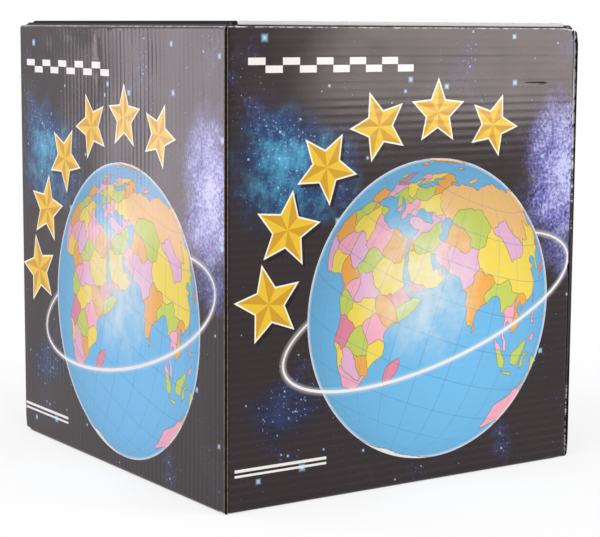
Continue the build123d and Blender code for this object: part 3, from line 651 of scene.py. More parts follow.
def cloudySky(add, flat):  # star clouds, thin at their rims and dusty inside, with square stars
    mists = []
    for size, detail, rough in film["mists"]:
        look = {"Vector": flat, "Scale": 1 / size, "Detail": detail, "Roughness": rough}
        mists.append(add("TexNoise", look, noise_dimensions="2D"))
    puff, dust, grit = mists
    grit = add("Math", [grit, 0.5], operation="SUBTRACT")
    crowd = add("MapRange", [puff, 0.5, 0.72, 0.12, 0.75])
    colour = paint(film["black"])
    for cloud in film["clouds"]:
        (wide, high), (low, mid, top) = cloud["size"], (paint(ink) for ink in cloud["inks"])
        away = add("VectorMath", [flat, (*cloud["at"], 0)], operation="SUBTRACT")
        away = add("VectorMath", [away, (1 / wide, 1 / high, 0)], operation="MULTIPLY")
        away = add("VectorMath", [away], "Value", operation="LENGTH")
        core = add("MapRange", [away, 0.0, 1.0, 1.0, 0.0], interpolation_type="SMOOTHSTEP")
        thick = add("Math", [puff, 1.5, -0.85], operation="MULTIPLY_ADD")
        thick = add("Math", [core, 1.15, thick], operation="MULTIPLY_ADD")
        mask = add("MapRange", [thick, 0.0, 0.75], interpolation_type="SMOOTHSTEP")
        light = add("Math", [core, 0.3, dust], operation="MULTIPLY_ADD")
        light = add("Math", [grit, cloud["grit"], light], operation="MULTIPLY_ADD")
        tint = blend(add, add("MapRange", [light, 0.36, 0.62]), low, mid)
        tint = blend(add, add("MapRange", [light, 0.64, 0.98]), tint, top)
        colour = blend(add, mask, colour, tint)
        crowd = add("Math", [crowd, mask], operation="MAXIMUM")
    for cell, size, rarity, tint, dusty in film["stars"]:
        square = {"voronoi_dimensions": "2D", "distance": "CHEBYCHEV"}
        cells = add("TexVoronoi", {"Vector": flat, "Scale": 1 / cell}, None, **square)
        rare = add("Math", [add("SeparateColor", [cells["Color"]]), rarity], operation="POWER")
        if dusty:
            rare = add("Math", [rare, crowd], operation="MULTIPLY")
        reach = add("Math", [rare, size / cell, film["smallestStar"]], operation="MULTIPLY_ADD")
        spot = add("MapRange", [cells["Distance"], 0.0, reach, 1.0, 0.0], interpolation_type="SMOOTHSTEP")
        colour = blend(add, spot, colour, paint(tint))
    return colour, dust


def mapLines(add, colour, gridLine, stroke):  # the grid, and dark lines along coasts and borders
    *ways, shown = add("SeparateXYZ", [add("Attribute", out="Vector", attribute_name="mapPlace")], None)
    aways = [add("Math", [way, mapPlan["gridGap"] / 2], operation="PINGPONG") for way in ways]
    grid = add("Math", [add("MapRange", [away, *gridLine, 0.0]) for away in aways], operation="MAXIMUM")
    gap = add("Attribute", out="Fac", attribute_name="lineGap")
    for line, ink in ((grid, "grid"), (add("MapRange", [gap, *stroke, 0.0]), "stroke")):
        line = add("Math", [line, shown], operation="MULTIPLY")
        colour = blend(add, line, colour, paint(inks[ink]))
    return colour, shown


def ringGlow(add, colour, flat, shown, printed):  # soft light round the ring, where the globe leaves it
    wide, high = picture["orbit"]
    level = add("VectorMath", [flat, (*picture["globeCentre"], 0)], operation="SUBTRACT")
    level = {"Vector": level, "Angle": -math.radians(picture["orbitTilt"])}
    level = add("VectorRotate", level, rotation_type="Z_AXIS")
    spans = []
    for scale in ((1 / wide, 1 / high, 0), (wide ** -2, high ** -2, 0)):
        span = add("VectorMath", [level, scale], operation="MULTIPLY")
        spans.append(add("VectorMath", [span], "Value", operation="LENGTH"))
    away = add("Math", [spans[0], 1.0], operation="SUBTRACT")
    away = add("Math", [away, spans[0]], operation="MULTIPLY")
    away = add("Math", [away, spans[1]], operation="DIVIDE")
    away = add("Math", [away], operation="ABSOLUTE")
    near, far, strength = film["glow"]
    glow = add("MapRange", [away, near, far, strength, 0.0], interpolation_type="SMOOTHSTEP")
    behind = add("Math", [add("SeparateXYZ", [level], 1), 0.0], operation="GREATER_THAN")
    behind = add("Math", [behind, shown], operation="MULTIPLY")
    seen = add("Math", [printed, behind], operation="SUBTRACT", use_clamp=True)
    glow = add("Math", [glow, seen], operation="MULTIPLY")
    return blend(add, glow, colour, paint(inks["white"]))


def washboard(add, flat, along, ribs):  # flutes felt through the liner, stronger in places
    wave = add("Math", [along, math.tau / board["flute"]], operation="MULTIPLY")
    wave = add("Math", [wave], operation="SINE")
    uneven = add("TexNoise", {"W": along, "Scale": 1 / film["ribDrift"], "Detail": 2}, noise_dimensions="1D")
    uneven = add("MapRange", [uneven, 0.3, 0.7, 0.4, 1.4])
    uneven = add("Math", [uneven, ribs], operation="MULTIPLY")
    patch = {"Vector": flat, "Scale": 1 / film["ribPatch"], "Detail": 2}
    patch = add("TexNoise", patch, noise_dimensions="2D")
    patch = add("MapRange", [patch, 0.35, 0.7, 0.25, 1.0])
    for strength in (uneven, patch):
        wave = add("Math", [wave, strength], operation="MULTIPLY")
    return wave


def glossPrint():  # litho print under gloss film: deep black, grey where it mirrors a lamp, ribbed by flutes
    finish, add = newFinish("glossLaminatedPrint", {"IOR": 1.36, "Specular Tint": (1.0, 0.9, 0.96, 1.0)})
    x, y, edge = add("SeparateXYZ", [add("Attribute", out="Vector", attribute_name="place")], None)
    along, ribs, printed = add("SeparateXYZ", [add("Attribute", out="Vector", attribute_name="flute")], None)
    ink = add("Attribute", out=None, attribute_name="ink")
    flat = add("CombineXYZ", [x, y])
    colour, dust = cloudySky(add, flat)
    colour = blend(add, ink["Alpha"], colour, ink["Color"])
    colour, shown = mapLines(add, colour, film["gridLine"], film["stroke"])
    middle, reach, tint = film["haze"]  # soft light printed on the globe picture
    away = add("VectorMath", [flat, (*middle, 0)], "Value", operation="DISTANCE")
    haze = add("MapRange", [away, 0.0, reach, 1.1, 0.0], interpolation_type="SMOOTHSTEP")
    haze = add("Math", [haze, dust], operation="MULTIPLY")
    haze = add("MapRange", [haze, 0.12, 0.62, 0.0, 0.62])
    haze = add("Math", [haze, shown], operation="MULTIPLY")
    colour = blend(add, haze, colour, paint(tint))
    colour = ringGlow(add, colour, flat, shown, printed)
    wave = washboard(add, flat, along, ribs)
    thin = add("MapRange", [wave, -0.1, 0.8, 0.0, 1.0])  # thinner ink along the crests
    colour = blend(add, thin, colour, paint(film["thinInk"]), blend_type="ADD")
    worn = add("TexNoise", {"Vector": flat, "Scale": 1 / film["rub"], "Detail": 6, "Roughness": 0.72})
    for ramp in ((0.5, 3.0, 0.42, 0.0), (-2.2, -0.2, 0.4, 0.0)):  # edges lose their ink in patches
        worn = add("Math", [worn, add("MapRange", [edge, *ramp])], operation="ADD")
    worn = add("MapRange", [worn, 0.84, 0.98])
    colour = blend(add, worn, colour, paint(film["scuff"]))
    gloss = add("TexNoise", {"Vector": flat, "Scale": 1 / film["glossPatch"], "Detail": 3})
    gloss = add("MapRange", [gloss, 0.3, 0.7, 0.1, 0.15])
    gloss = add("Math", [worn, 0.35, gloss], operation="MULTIPLY_ADD")
    grain = add("TexNoise", {"Vector": flat, "Scale": 1 / film["paperGrain"], "Detail": 2})
    return dress(finish, colour, gloss, (wave, 1.0, film["ribHeight"]), (grain, 0.35, 0.03))


def plainPrint():  # the same film over solid black: a dull gleam with pale rubbed specks
    finish, add = newFinish("glossBlackBoard", {"IOR": 1.42})
    place = add("TexCoord", out="Object")
    tone = add("TexNoise", {"Vector": place, "Scale": 1 / (40 * mm), "Detail": 4})
    colour = blend(add, tone, paint("#161314"), paint("#2a2626"))
    specks = add("TexNoise", {"Vector": place, "Scale": 1 / (3 * mm), "Detail": 3, "Roughness": 0.7})
    worn = add("MapRange", [specks, 0.72, 0.78, 0.0, 0.5])
    colour = blend(add, worn, colour, paint("#a8a098"))
    gloss = add("MapRange", [tone, 0.3, 0.7, 0.3, 0.42])
    return dress(finish, colour, gloss, (specks, 0.3, 0.05))


lidShade = (322.5, 323.2)  # heights in millimetres over which the rolled top edge goes black, a painted shade from the lid


def creasedPrint():  # film dulled over the rolled top edge: purple grey, with painted shade, black, where the lid shades it
    finish, add = newFinish("creasedPrint", {"IOR": 1.36, "Specular IOR Level": 0.2})
    place = add("TexCoord", out="Object")
    tone = add("TexNoise", {"Vector": place, "Scale": 1 / (2.5 * mm), "Detail": 5, "Roughness": 0.65})
    colour = blend(add, tone, paint("#2b242d"), paint("#5a4f5d"))
    # painted shade: the top of the rolled edge is blended to black by height
    paintedShade = add("MapRange", [add("SeparateXYZ", [place], 2), *(height * mm for height in lidShade)])
    colour = blend(add, paintedShade, colour, paint("#0a0809"))
    gloss = add("MapRange", [tone, 0.3, 0.7, 0.6, 0.8])
    return dress(finish, colour, gloss, (tone, 0.4, 0.08))


def kraftPaper(name, pale, dark, fleck, inkAndShadeFrom=None):  # recycled kraft: matt, streaked by fibres, flecked
    finish, add = newFinish(name, {"Roughness": 0.88, "IOR": 1.45, "Specular IOR Level": 0.3})
    place = add("TexCoord", out="Object")
    streaked = add("Mapping", {"Vector": place, "Scale": (0.25, 0.25, 1.0)})
    fibre = add("TexNoise", {"Vector": streaked, "Scale": 1 / (2.2 * mm), "Detail": 6, "Roughness": 0.65})
    tone = add("MapRange", [fibre, 0.3, 0.7])
    colour = blend(add, tone, paint(dark), paint(pale))
    chips = add("TexVoronoi", {"Vector": place, "Scale": 1 / (4.5 * mm)}, "Distance")
    chips = add("MapRange", [chips, 0.05, 0.11, 0.6, 0.0])
    colour = blend(add, chips, colour, paint(fleck))
    if inkAndShadeFrom:  # the print runs a little way round the cut edges, and painted shade darkens the same strip where it sits in the corner gap
        depth = add("Math", [add("SeparateXYZ", [place], 1)], operation="ABSOLUTE")
        inked = add("MapRange", [depth, inkAndShadeFrom * mm, (inkAndShadeFrom + 1) * mm])
        colour = blend(add, inked, colour, paint("#161213"))
    return dress(finish, colour, None, (fibre, 0.5, 0.08))


def varnishedMap():  # printed vinyl skin of the ball, varnished: even gloss with a faint orange peel
    finish, add = newFinish("varnishedMap", {"IOR": 1.5, "Coat Weight": 0.5, "Coat Roughness": 0.08})
    ink = add("Attribute", out="Color", attribute_name="ink")
    colour = mapLines(add, ink, ball["gridLine"], ball["stroke"])[0]
    peel = add("TexNoise", {"Vector": add("TexCoord", out="Object"), "Scale": 1 / (3 * mm), "Detail": 2})
    return dress(finish, colour, add("MapRange", [peel, 0.3, 0.7, 0.28, 0.36]), (peel, 0.2, 0.04))


def mouldedPlastic(name, low, high, rough):  # moulded plastic or rubber: smooth, with a slow drift in gloss
    finish, add = newFinish(name, {"IOR": 1.53})
    place = add("TexCoord", out="Object")
    flow = add("TexNoise", {"Vector": place, "Scale": 1 / (18 * mm), "Detail": 3})
    grain = add("TexNoise", {"Vector": place, "Scale": 1 / (0.6 * mm), "Detail": 2})
    colour = blend(add, flow, paint(low), paint(high))
    return dress(finish, colour, add("MapRange", [flow, 0.3, 0.7, rough, rough + 0.1]), (grain, 0.15, 0.02))


def turnedMetal(name, low, high, rough):  # lathe-turned metal: a fine grain from the tool blurs the mirror
    finish, add = newFinish(name, {"Metallic": 1.0})
    place = add("TexCoord", out="Object")
    grain = add("TexNoise", {"Vector": place, "Scale": 1 / (0.5 * mm), "Detail": 3})
    tarnish = add("TexNoise", {"Vector": place, "Scale": 1 / (6 * mm), "Detail": 4})
    colour = blend(add, tarnish, paint(low), paint(high))
    return dress(finish, colour, add("MapRange", [grain, 0.3, 0.7, rough, rough + 0.12]), (grain, 0.2, 0.02))


# Ball: one printed skin over both half shells, in degrees, the stroke in millimetres;
# its lines have a core, an edge and a strength
ball = {
    "tilt": 23.5, "grid": 4.0, "capLat": 86.0, "turnLon": 205.0,
    "gridLine": (0.08, 0.2, 0.6), "stroke": (0.12, 0.3, 0.75),
}

printFilm = glossPrint()
blackBoard = plainPrint()
stripPrint = creasedPrint()
kraftLiner = kraftPaper("kraftLiner", "#c39a6c", "#a67d52", "#6f5132")
# side walls' inner faces: near-black by the corners, the print running round the edges and painted shade in
# the gap there
wallLiner = kraftPaper("inkedShadedKraftLiner", "#c39a6c", "#a67d52", "#6f5132", inkAndShadeFrom=146.0)
cutEdge = kraftPaper("cutLinerEdge", "#b3a799", "#6b5f55", "#3c332c")
fluteShade = kraftPaper("fluteShade", "#2a2320", "#120f0e", "#0a0908")
# painted shade: near-black lid folds, darker than the print, for the shade along the lid's edge; creased film
# also dulls them
shadedBlackInk = kraftPaper("crackedBlackInkAndShade", "#0f0d0e", "#080707", "#050505")
mapVarnish = varnishedMap()
blackAbs = mouldedPlastic("blackAbs", "#141414", "#222121", 0.28)
paleNylon = mouldedPlastic("paleNylon", "#d8d4c8", "#e8e4da", 0.42)
bandVinyl = mouldedPlastic("bandVinyl", "#d9b23c", "#e6c65a", 0.35)
brass = turnedMetal("lacqueredBrass", "#b58a3a", "#d8b25e", 0.2)
zincSteel = turnedMetal("zincPlatedSteel", "#8f9296", "#c2c5c8", 0.26)
rubber = mouldedPlastic("mouldedRubber", "#1a1a1a", "#262525", 0.7)
print("finishes made:", len(bpy.data.materials))


# Printed walls and lid: sheets bent over at their folds, with cut board edges elsewhere, in millimetres.
# kept: ink left at the left, right, bottom and top; crush: place, reach, push, sink;
# dents: place, half size, depth
everySheet = {
    "body": "carton", "up": (0, 0, 1), "fluteAlong": "right", "picture": True, "shift": (0, 0), "ribs": 1.0,
    "dull": False, "inked": False, "crush": (),
}
sheets = {
    "frontWall": {
        "node": "front_wall", "right": (1, 0, 0), "out": (0, -1, 0), "folds": ("left", "right", "bottom"),
        "seed": 3, "kept": (0.9, 1.2, 1.2, -0.6),
        "crush": ((299, 321.5, 10, -1.4, -1.6, 1.1), (299, 0, 10, -0.6, 0.4, 0.6)),
        "dents": ((260, 282, 6, 0.5, 0.25), (267, 281.6, 3.4, 0.7, 0.4), (118, 303, 40, 14, 0.25)),
    },
    "backWall": {
        "node": "back_wall", "right": (-1, 0, 0), "out": (0, 1, 0), "folds": ("left", "right", "bottom"),
        "seed": 5, "shift": (2.0, -1.5), "kept": (0.6, 0.6, 0.8, 0.4),
        "dents": ((60, 210, 24, 18, 0.5), (240, 40, 12, 9, 0.6)),
    },
    "leftWall": {
        "node": "left_outer_wall", "right": (0, -1, 0), "out": (-1, 0, 0), "folds": ("top", "bottom"),
        "seed": 7, "fluteAlong": "up", "shift": (-6.5, -5.8), "ribs": 2.0, "kept": (2.0, 2.2, 1.0, -0.6),
        "crush": ((0, 0, 8, 1.2, 1.5, 0.6),),
        "dents": (
            (128, 300, 2.4, 18, 0.3), (92, 313, 20, 4, 0.5), (60, 308, 12, 7, 0.4), (200, 300, 16, 12, 0.3),
        ),
    },
    "rightWall": {
        "node": "right_outer_wall", "right": (0, 1, 0), "out": (1, 0, 0), "folds": ("top", "bottom"),
        "seed": 11, "fluteAlong": "up", "shift": (-6.5, -5.8), "ribs": 1.5, "inked": True,
        "kept": (2.2, 2.0, 1.0, -0.4),
        "crush": ((0, 321.5, 10, 1.4, -1.6, 1.0), (0, 0, 10, 0.6, 0.4, 0.6)),
        "dents": ((40, 300, 14, 9, 0.6), (210, 120, 30, 20, 0.4)),
    },
    "lidPanel": {
        "node": "lid_panel", "body": "lid", "right": (1, 0, 0), "up": (0, 1, 0), "out": (0, 0, 1),
        "folds": ("left", "right", "bottom", "top"), "seed": 13, "picture": False, "dull": True,
        "kept": (0.6, 0.6, -3.6, 0.6), "dents": ((80, 200, 35, 25, 0.5), (200, 90, 20, 26, 0.4)),
    },
}


def measureSheet(plan):  # pairs stand for left and right, then bottom and top
    low, high = (np.array(corner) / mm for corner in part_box(plan["node"]))
    axes = np.array([plan[k] for k in ("right", "up", "out")], float)
    *size, thick = np.abs(axes @ (high - low))
    ends, outward, bend = np.array([(0, s) for s in size]), np.array((-1, 1)), board["fold"]
    pairs = (("left", "right"), ("bottom", "top"))
    folded = np.array([[side in plan["folds"] for side in pair] for pair in pairs])
    sweep = bend * math.pi / 2
    inner = ends - outward * bend * folded
    return SimpleNamespace(
        axes=axes, size=size, thick=thick, folded=folded, sweep=sweep, inner=inner,
        start=np.minimum(axes @ low, axes @ high)[:2], face=max(axes[2] @ low, axes[2] @ high),
        limits=ends + outward * (sweep - bend) * folded,
        stations=[np.linspace(a, b, round((b - a) / board["grid"]) + 1) for a, b in inner],
    )


def sheetOutline(sheet):  # anticlockwise, round where two folds meet
    outline = []
    for k, end in enumerate(((1, 0), (1, 1), (0, 1), (0, 0))):  # each side's last corner, from the bottom
        along, across = k % 2, 1 - k % 2
        for station in sheet.stations[along][::1 if k < 2 else -1]:
            edge = sheet.limits[across][end[across]]
            outline.append((edge, station) if along else (station, edge))
        bends = int(sheet.folded[0][end[0]]) + int(sheet.folded[1][end[1]])
        if bends == 2:
            for part in (0.25, 0.5, 0.75):
                a = math.radians(90 * (k - 1 + part))
                reach = sheet.sweep * math.cos(a), sheet.sweep * math.sin(a)
                outline.append(tuple(sheet.inner[n][end[n]] + reach[n] for n in (0, 1)))
        elif bends:
            outline.append(tuple(sheet.limits[n][end[n]] for n in (0, 1)))
    return [p for i, p in enumerate(outline) if math.dist(p, outline[i - 1]) > 1e-6]


def sheetPoints(sheet, plan):  # mesh points within the outline, closer at folds, cut edges and dents
    bend, cuts, margin = board["fold"], board["edgeRows"], board["dentInset"]
    folds = [sheet.sweep * k / board["foldRows"] for k in range(board["foldRows"])]
    rows = []
    for size, (first, last) in zip(sheet.size, sheet.folded):
        rows.append([bend - e for e in folds] if first else [*cuts])
        rows[-1] += [size - bend + e for e in folds] if last else [size - e for e in cuts]
    (us, vs), (width, height) = sheet.stations, sheet.size
    points = [(u, e) for u in us for e in rows[1]] + [(e, v) for v in vs for e in rows[0]]
    points += [(u, v) for u in us[1:-1] for v in vs[1:-1]]
    for x, y, wide, high, depth in plan["dents"]:
        local = [(x + wide * a, y + high * b) for a in board["dentRows"] for b in board["dentRows"]]
        points += [(u, v) for u, v in local if margin < u < width - margin and margin < v < height - margin]
    return points


def dentField(plan, size):  # depth of the board below its flat face
    rng = random.Random(plan["seed"])
    swells = []
    for i in range(board["swells"]):
        heading, length = rng.uniform(0, math.tau), rng.uniform(*board["swellLength"])
        swells.append((math.cos(heading) / length, math.sin(heading) / length, rng.uniform(0, math.tau)))

    def depth(u, v):
        inset = np.minimum(np.minimum(u, size[0] - u), np.minimum(v, size[1] - v))
        fade = np.clip(inset / board["swellInset"], 0, 1)
        waves = sum(board["swellDepth"] * (1 + np.sin(math.tau * (u * a + v * b) + c)) for a, b, c in swells)
        rim = np.clip(inset / board["dentInset"] - board["dentFade"], 0, 1)
        dents = 0
        for x, y, wide, high, sink in plan["dents"]:
            dents = dents + sink * np.exp(-((u - x) / wide) ** 2 - ((v - y) / high) ** 2)
        return waves * (fade * fade * (3 - 2 * fade)) + dents * rim

    return depth


def bendSheet(plan, sheet, flat):  # place, depth and normal with folds, dents and knocked corners; knocks
    base = np.clip(flat, *np.where(sheet.folded, sheet.inner, (-np.inf, np.inf)).T)
    over = flat - base
    reach = np.hypot(*over.T)
    way = over / np.maximum(reach, 1e-9)[:, None]
    angle = np.minimum(reach / board["fold"], math.pi / 2)
    lean = np.sin(angle)[:, None]
    bent = base + way * board["fold"] * lean
    for x, y, reach, pushU, pushV, sink in plan["crush"]:
        pull = np.clip(1 - np.hypot(*(bent - (x, y)).T) / reach, 0, 1) ** board["knockEase"]
        bent = bent + pull[:, None] * (pushU, pushV)
    field = dentField(plan, sheet.size)
    depth = board["fold"] * (1 - np.cos(angle)) + field(*bent.T)
    knocked = np.zeros(len(flat))
    (even, wavy), waves = board["crumple"]
    crumple = even + wavy * np.sin(flat * waves).prod(1)
    for x, y, reach, pushU, pushV, sink in plan["crush"]:
        pull = np.clip(1 - np.hypot(*(flat - (x, y)).T) / reach, 0, 1)
        depth = np.minimum(depth + sink * pull * crumple, sheet.thick - board["least"])
        knocked = np.maximum(knocked, pull)
    steps = np.eye(2) * board["slopeStep"]
    slopes = [(field(*(bent + s).T) - field(*(bent - s).T)) / (2 * board["slopeStep"]) for s in steps]
    normal = np.column_stack([way * lean + np.stack(slopes, axis=1), np.cos(angle)])
    return bent, depth, normal / np.linalg.norm(normal, axis=1)[:, None], knocked


def edgeLoop(triangles):  # points round the sheet's edge, in order
    sides = {(a, b) for t in triangles.tolist() for a, b in zip(t, t[1:] + t[:1])}
    following = {a: b for a, b in sides if (b, a) not in sides}
    loop = [min(following)]
    while following[loop[-1]] != loop[0]:
        loop.append(following[loop[-1]])
    return np.array(loop)


def cutRings(plan, sheet, edge, bent, depth):  # cut edges: two liners with the flutes set back between them
    (low, high), cut = sheet.limits.T, ~sheet.folded
    inward = cut[:, 0] * (np.abs(edge - low) < 1e-3) - 1.0 * cut[:, 1] * (np.abs(edge - high) < 1e-3)
    back = inward * board["recess"] * (board["inkedShare"] if plan["inked"] else 1.0)
    room = sheet.thick - depth
    lip = np.minimum(board["liner"], room * board["lipShare"])
    levels = ((lip, 0), (lip, 1), (room - lip, 1), (room - lip, 0), (room, 0))
    return [np.column_stack([bent + back * setBack, depth + level]) for level, setBack in levels]


def printSheet(mesh, printed, triangles, gaps):  # ink, map place and distance to a map line
    total, count = len(mesh.loops), triangles.size
    ink, mapPlace = np.zeros((total, 4)), np.zeros((total, 3))
    lineGap = np.full(total, mapPlan["farFromLine"])
    lineGap[:count] = gaps.ravel()
    if printed is not None:
        code, cover, onMap = (np.repeat(each, 3) for each in inkAt(printed[triangles].mean(1)))
        spots = printed[triangles].reshape(-1, 2)
        reach = np.linalg.norm(spots - globeCentre, axis=1) / globeRadius
        rim = np.clip((reach - picture["rimFrom"]) / (1 - picture["rimFrom"]), 0, 1) * picture["rimStrength"]
        rim = np.where(onMap, rim, 0)[:, None]
        tint = inkTable[code] * np.where(onMap, globeShade(spots), 1.0)[:, None]
        tint = tint * (1 - rim) + rim * inkTable[inkNames.index("white")]
        ink[:count] = np.column_stack([tint, cover])
        mapPlace[:count] = np.column_stack([mapPlaceAt(spots), onMap])
    setAttribute(mesh, "ink", "CORNER", ink)
    setAttribute(mesh, "mapPlace", "CORNER", mapPlace)
    setAttribute(mesh, "lineGap", "CORNER", lineGap)


def foldedSheet(name, plan):
    sheet = measureSheet(plan)
    offset = np.array((sheet.start[0] + picture["wall"] / 2, 0.0)) - plan["shift"]
    lines = [(sheetOutline(sheet), True, False)] + [([p], False, False) for p in sheetPoints(sheet, plan)]
    if plan["picture"]:
        lines += [(line - offset, closed, onMap) for line, closed, onMap in drawing.lines]
    flat, triangles, lineEdges, onLine = layOut(lines)
    bent, depth, normal, knocked = bendSheet(plan, sheet, flat)
    loop = edgeLoop(triangles)
    rings = cutRings(plan, sheet, flat[loop], bent[loop], depth[loop])
    local = np.vstack([np.column_stack([bent, depth]), *rings])
    points = np.column_stack([sheet.start + local[:, :2], sheet.face - local[:, 2]]) @ sheet.axes

    faces, upper, count = triangles.tolist(), loop, len(loop)
    for ring in range(len(rings)):
        lower = len(flat) + ring * count + np.arange(count)
        faces += np.stack([upper, lower, np.roll(lower, -1), np.roll(upper, -1)], axis=1).tolist()
        upper = lower
    faces.append(upper[::-1].tolist())
    liner = wallLiner if plan["out"][0] else kraftLiner
    finishes = (printFilm, liner, cutEdge, fluteShade, shadedBlackInk)
    coat, back, lip, gap, dull = range(len(finishes))
    if plan["inked"]:  # the film wraps this sheet's cut edges
        lip = gap = coat
    # painted shade: the lid's creased left and right folds take the near-black finish
    creased = np.abs(flat[triangles, 0] - np.clip(flat[triangles, 0], *sheet.inner[0])).max(1) > 1e-6
    coats = np.where(creased & plan["dull"], dull, coat).tolist()
    coats += [lip] * count + [gap] * 3 * count + [lip] * count + [back]
    piece = newPiece(name, points, faces, finishes, coats)
    mesh = piece.data
    mesh.polygons.foreach_set("use_smooth", [k < len(triangles) for k in range(len(faces))])

    # What the film's nodes read: print place and distance to an edge, then the washboard's phase and depth
    # and whether the sheet has the picture
    printed = flat + offset
    keen = np.where(sheet.folded, 1.0, board["cutWear"])
    (low, high), kept = sheet.limits.T, np.reshape(plan["kept"], (2, 2))
    gaps = np.minimum((flat - low) * keen[:, 0] + kept[:, 0], (high - flat) * keen[:, 1] + kept[:, 1]).min(1)
    place = np.column_stack([printed, gaps - board["knockWear"] * knocked])
    place = place[np.concatenate([np.arange(len(flat)), *[loop] * len(rings)])]
    flute = np.full((len(place), 3), (0, plan["ribs"], plan["picture"]), float)
    flute[:, 0] = place[:, 1 if plan["fluteAlong"] == "right" else 0]
    setAttribute(mesh, "place", "POINT", place)
    setAttribute(mesh, "flute", "POINT", flute)
    gaps = cornerGaps(flat, triangles, lineEdges, onLine)
    printSheet(mesh, printed if plan["picture"] else None, triangles, gaps)
    normals = np.zeros((len(mesh.loops), 3))
    normals[:triangles.size] = (normal @ sheet.axes)[triangles.ravel()]
    mesh.validate(clean_customdata=False)
    mesh.normals_split_custom_set([tuple(n) for n in normals])
    mesh.update()
    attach(piece, plan["body"])
    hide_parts(plan["node"])
    print("sheet", name, len(faces), "faces")


for sheetName, sheetPlan in sheets.items():
    foldedSheet(sheetName, everySheet | sheetPlan)


# Tuck flap and lid ears: two liners with a real fluted medium between them, in millimetres and degrees
flaps = {
    "tuckFlap": {
        "node": "tuck_flap", "body": "tuck", "lean": 7.0,
        "length": 50.0, "mitre": (50.0, 50.0), "corner": 8.0,
    },
    "leftEar": {
        "node": "left_lid_ear", "body": "left_ear", "inward": 1,
        "length": 60.0, "mitre": (60.0, 25.0), "corner": 8.0,
    },
    "rightEar": {
        "node": "right_lid_ear", "body": "right_ear", "inward": -1,
        "length": 60.0, "mitre": (60.0, 25.0), "corner": 8.0,
    },
}


def roundedOutline(corners, rounded, radius, steps=6):
    outline = []
    for i, p in enumerate(corners):
        if i not in rounded:
            outline.append(p)
            continue
        a, b = corners[i - 1] - p, corners[(i + 1) % len(corners)] - p
        a, b = a / np.linalg.norm(a), b / np.linalg.norm(b)
        half = math.acos(float(np.clip(a @ b, -1, 1))) / 2
        middle = (a + b) / np.linalg.norm(a + b) * radius / math.sin(half) + p
        first, last = p + a * radius / math.tan(half), p + b * radius / math.tan(half)
        for k in range(steps + 1):
            arm = first - middle + (last - first) * k / steps
            outline.append(middle + arm / np.linalg.norm(arm) * radius)
    return np.array(outline)


def spanAt(outline, across):  # reach of the outline along the flutes at one place across them
    hits = []
    for (ax, ay), (bx, by) in zip(outline, np.roll(outline, -1, axis=0)):
        if (ax - across) * (bx - across) <= 0 and ax != bx:
            hits.append(ay + (by - ay) * (across - ax) / (bx - ax))
    return min(hits), max(hits)


def flutedFlap(name, plan):
    low, high = (np.array(corner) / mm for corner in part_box(plan["node"]))
    thick, liner, medium, length = board["thick"], board["liner"], board["medium"], plan["length"]
    front, back = plan["mitre"]
    # Axes run across the flutes, along them and inward
    if "lean" in plan:  # flutes across the flap, which hangs from the lid's front edge
        sine, cosine = math.sin(math.radians(plan["lean"])), math.cos(math.radians(plan["lean"]))
        start = np.array((0, low[1], high[2] - thick * sine))
        axes = np.array([(0, sine, -cosine), (1, 0, 0), (0, cosine, sine)])
        corners = [(0, low[0]), (0, high[0]), (length, high[0] - back), (length, low[0] + front)]
    else:  # flutes down the ear
        start = np.array((low[0] if plan["inward"] > 0 else high[0], 0, high[2]))
        axes = np.array([(0, 1, 0), (0, 0, -1), (plan["inward"], 0, 0)])
        corners = [(low[1], 0), (high[1], 0), (high[1] - back, length), (low[1] + front, length)]
    outline = roundedOutline(np.array(corners, float), (2, 3), plan["corner"])
    points, faces, finishIndex = [], [], []
    finishes = (blackBoard, kraftLiner, cutEdge)
    black, brown, edge = range(len(finishes))
    for near, far, outer in ((0, liner, black), (thick - liner, thick, brown)):
        first, count = len(points), len(outline)
        points += [(c, f, d) for d in (near, far) for c, f in outline]
        faces.append(tuple(range(first, first + count)))
        faces.append(tuple(range(first + 2 * count - 1, first + count - 1, -1)))
        for i in range(count):
            j = (i + 1) % count
            faces.append((first + i, first + count + i, first + count + j, first + j))
        finishIndex += [outer, brown] + [edge] * count
    inset = board["mediumInset"]
    cLow, cHigh = outline[:, 0].min() + inset, outline[:, 0].max() - inset
    steps = round((cHigh - cLow) / board["flute"] * board["fluteSteps"])
    reach = (thick - 2 * liner - medium) / 2
    first, last = len(points), len(points) + 4 * steps
    for i in range(steps + 1):
        c = cLow + (cHigh - cLow) * i / steps
        near, far = spanAt(outline, c)
        gap = min(board["mediumGap"], (far - near) * board["mediumShare"])
        wave = thick / 2 + reach * math.sin(math.tau * c / board["flute"])
        depths = (wave - medium / 2, wave + medium / 2)
        points += [(c, f, d) for d in depths for f in (near + gap, far - gap)]
    for a in range(first, last, 4):
        b = a + 4
        faces += [(a, b, b + 1, a + 1), (a + 2, a + 3, b + 3, b + 2)]
        faces += [(a, a + 2, b + 2, b), (a + 1, b + 1, b + 3, a + 3)]
    faces += [(first, first + 1, first + 3, first + 2), (last, last + 2, last + 3, last + 1)]
    finishIndex += [brown] * (len(faces) - len(finishIndex))
    piece = newPiece(name, start + np.array(points) @ axes, faces, finishes, finishIndex)
    outwardFaces(piece.data)
    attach(piece, plan["body"])
    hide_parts(plan["node"])
    print("flap", name, len(faces), "faces")


for flapName, flapPlan in flaps.items():
    flutedFlap(flapName, flapPlan)


def ballPlace():  # centre and radius in millimetres
    corners = np.array([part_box(half) for half in ("north_half_shell", "south_half_shell")]) / mm
    low, high = corners[:, 0].min(0), corners[:, 1].max(0)
    return (low + high) / 2, (high[1] - low[1]) / 2


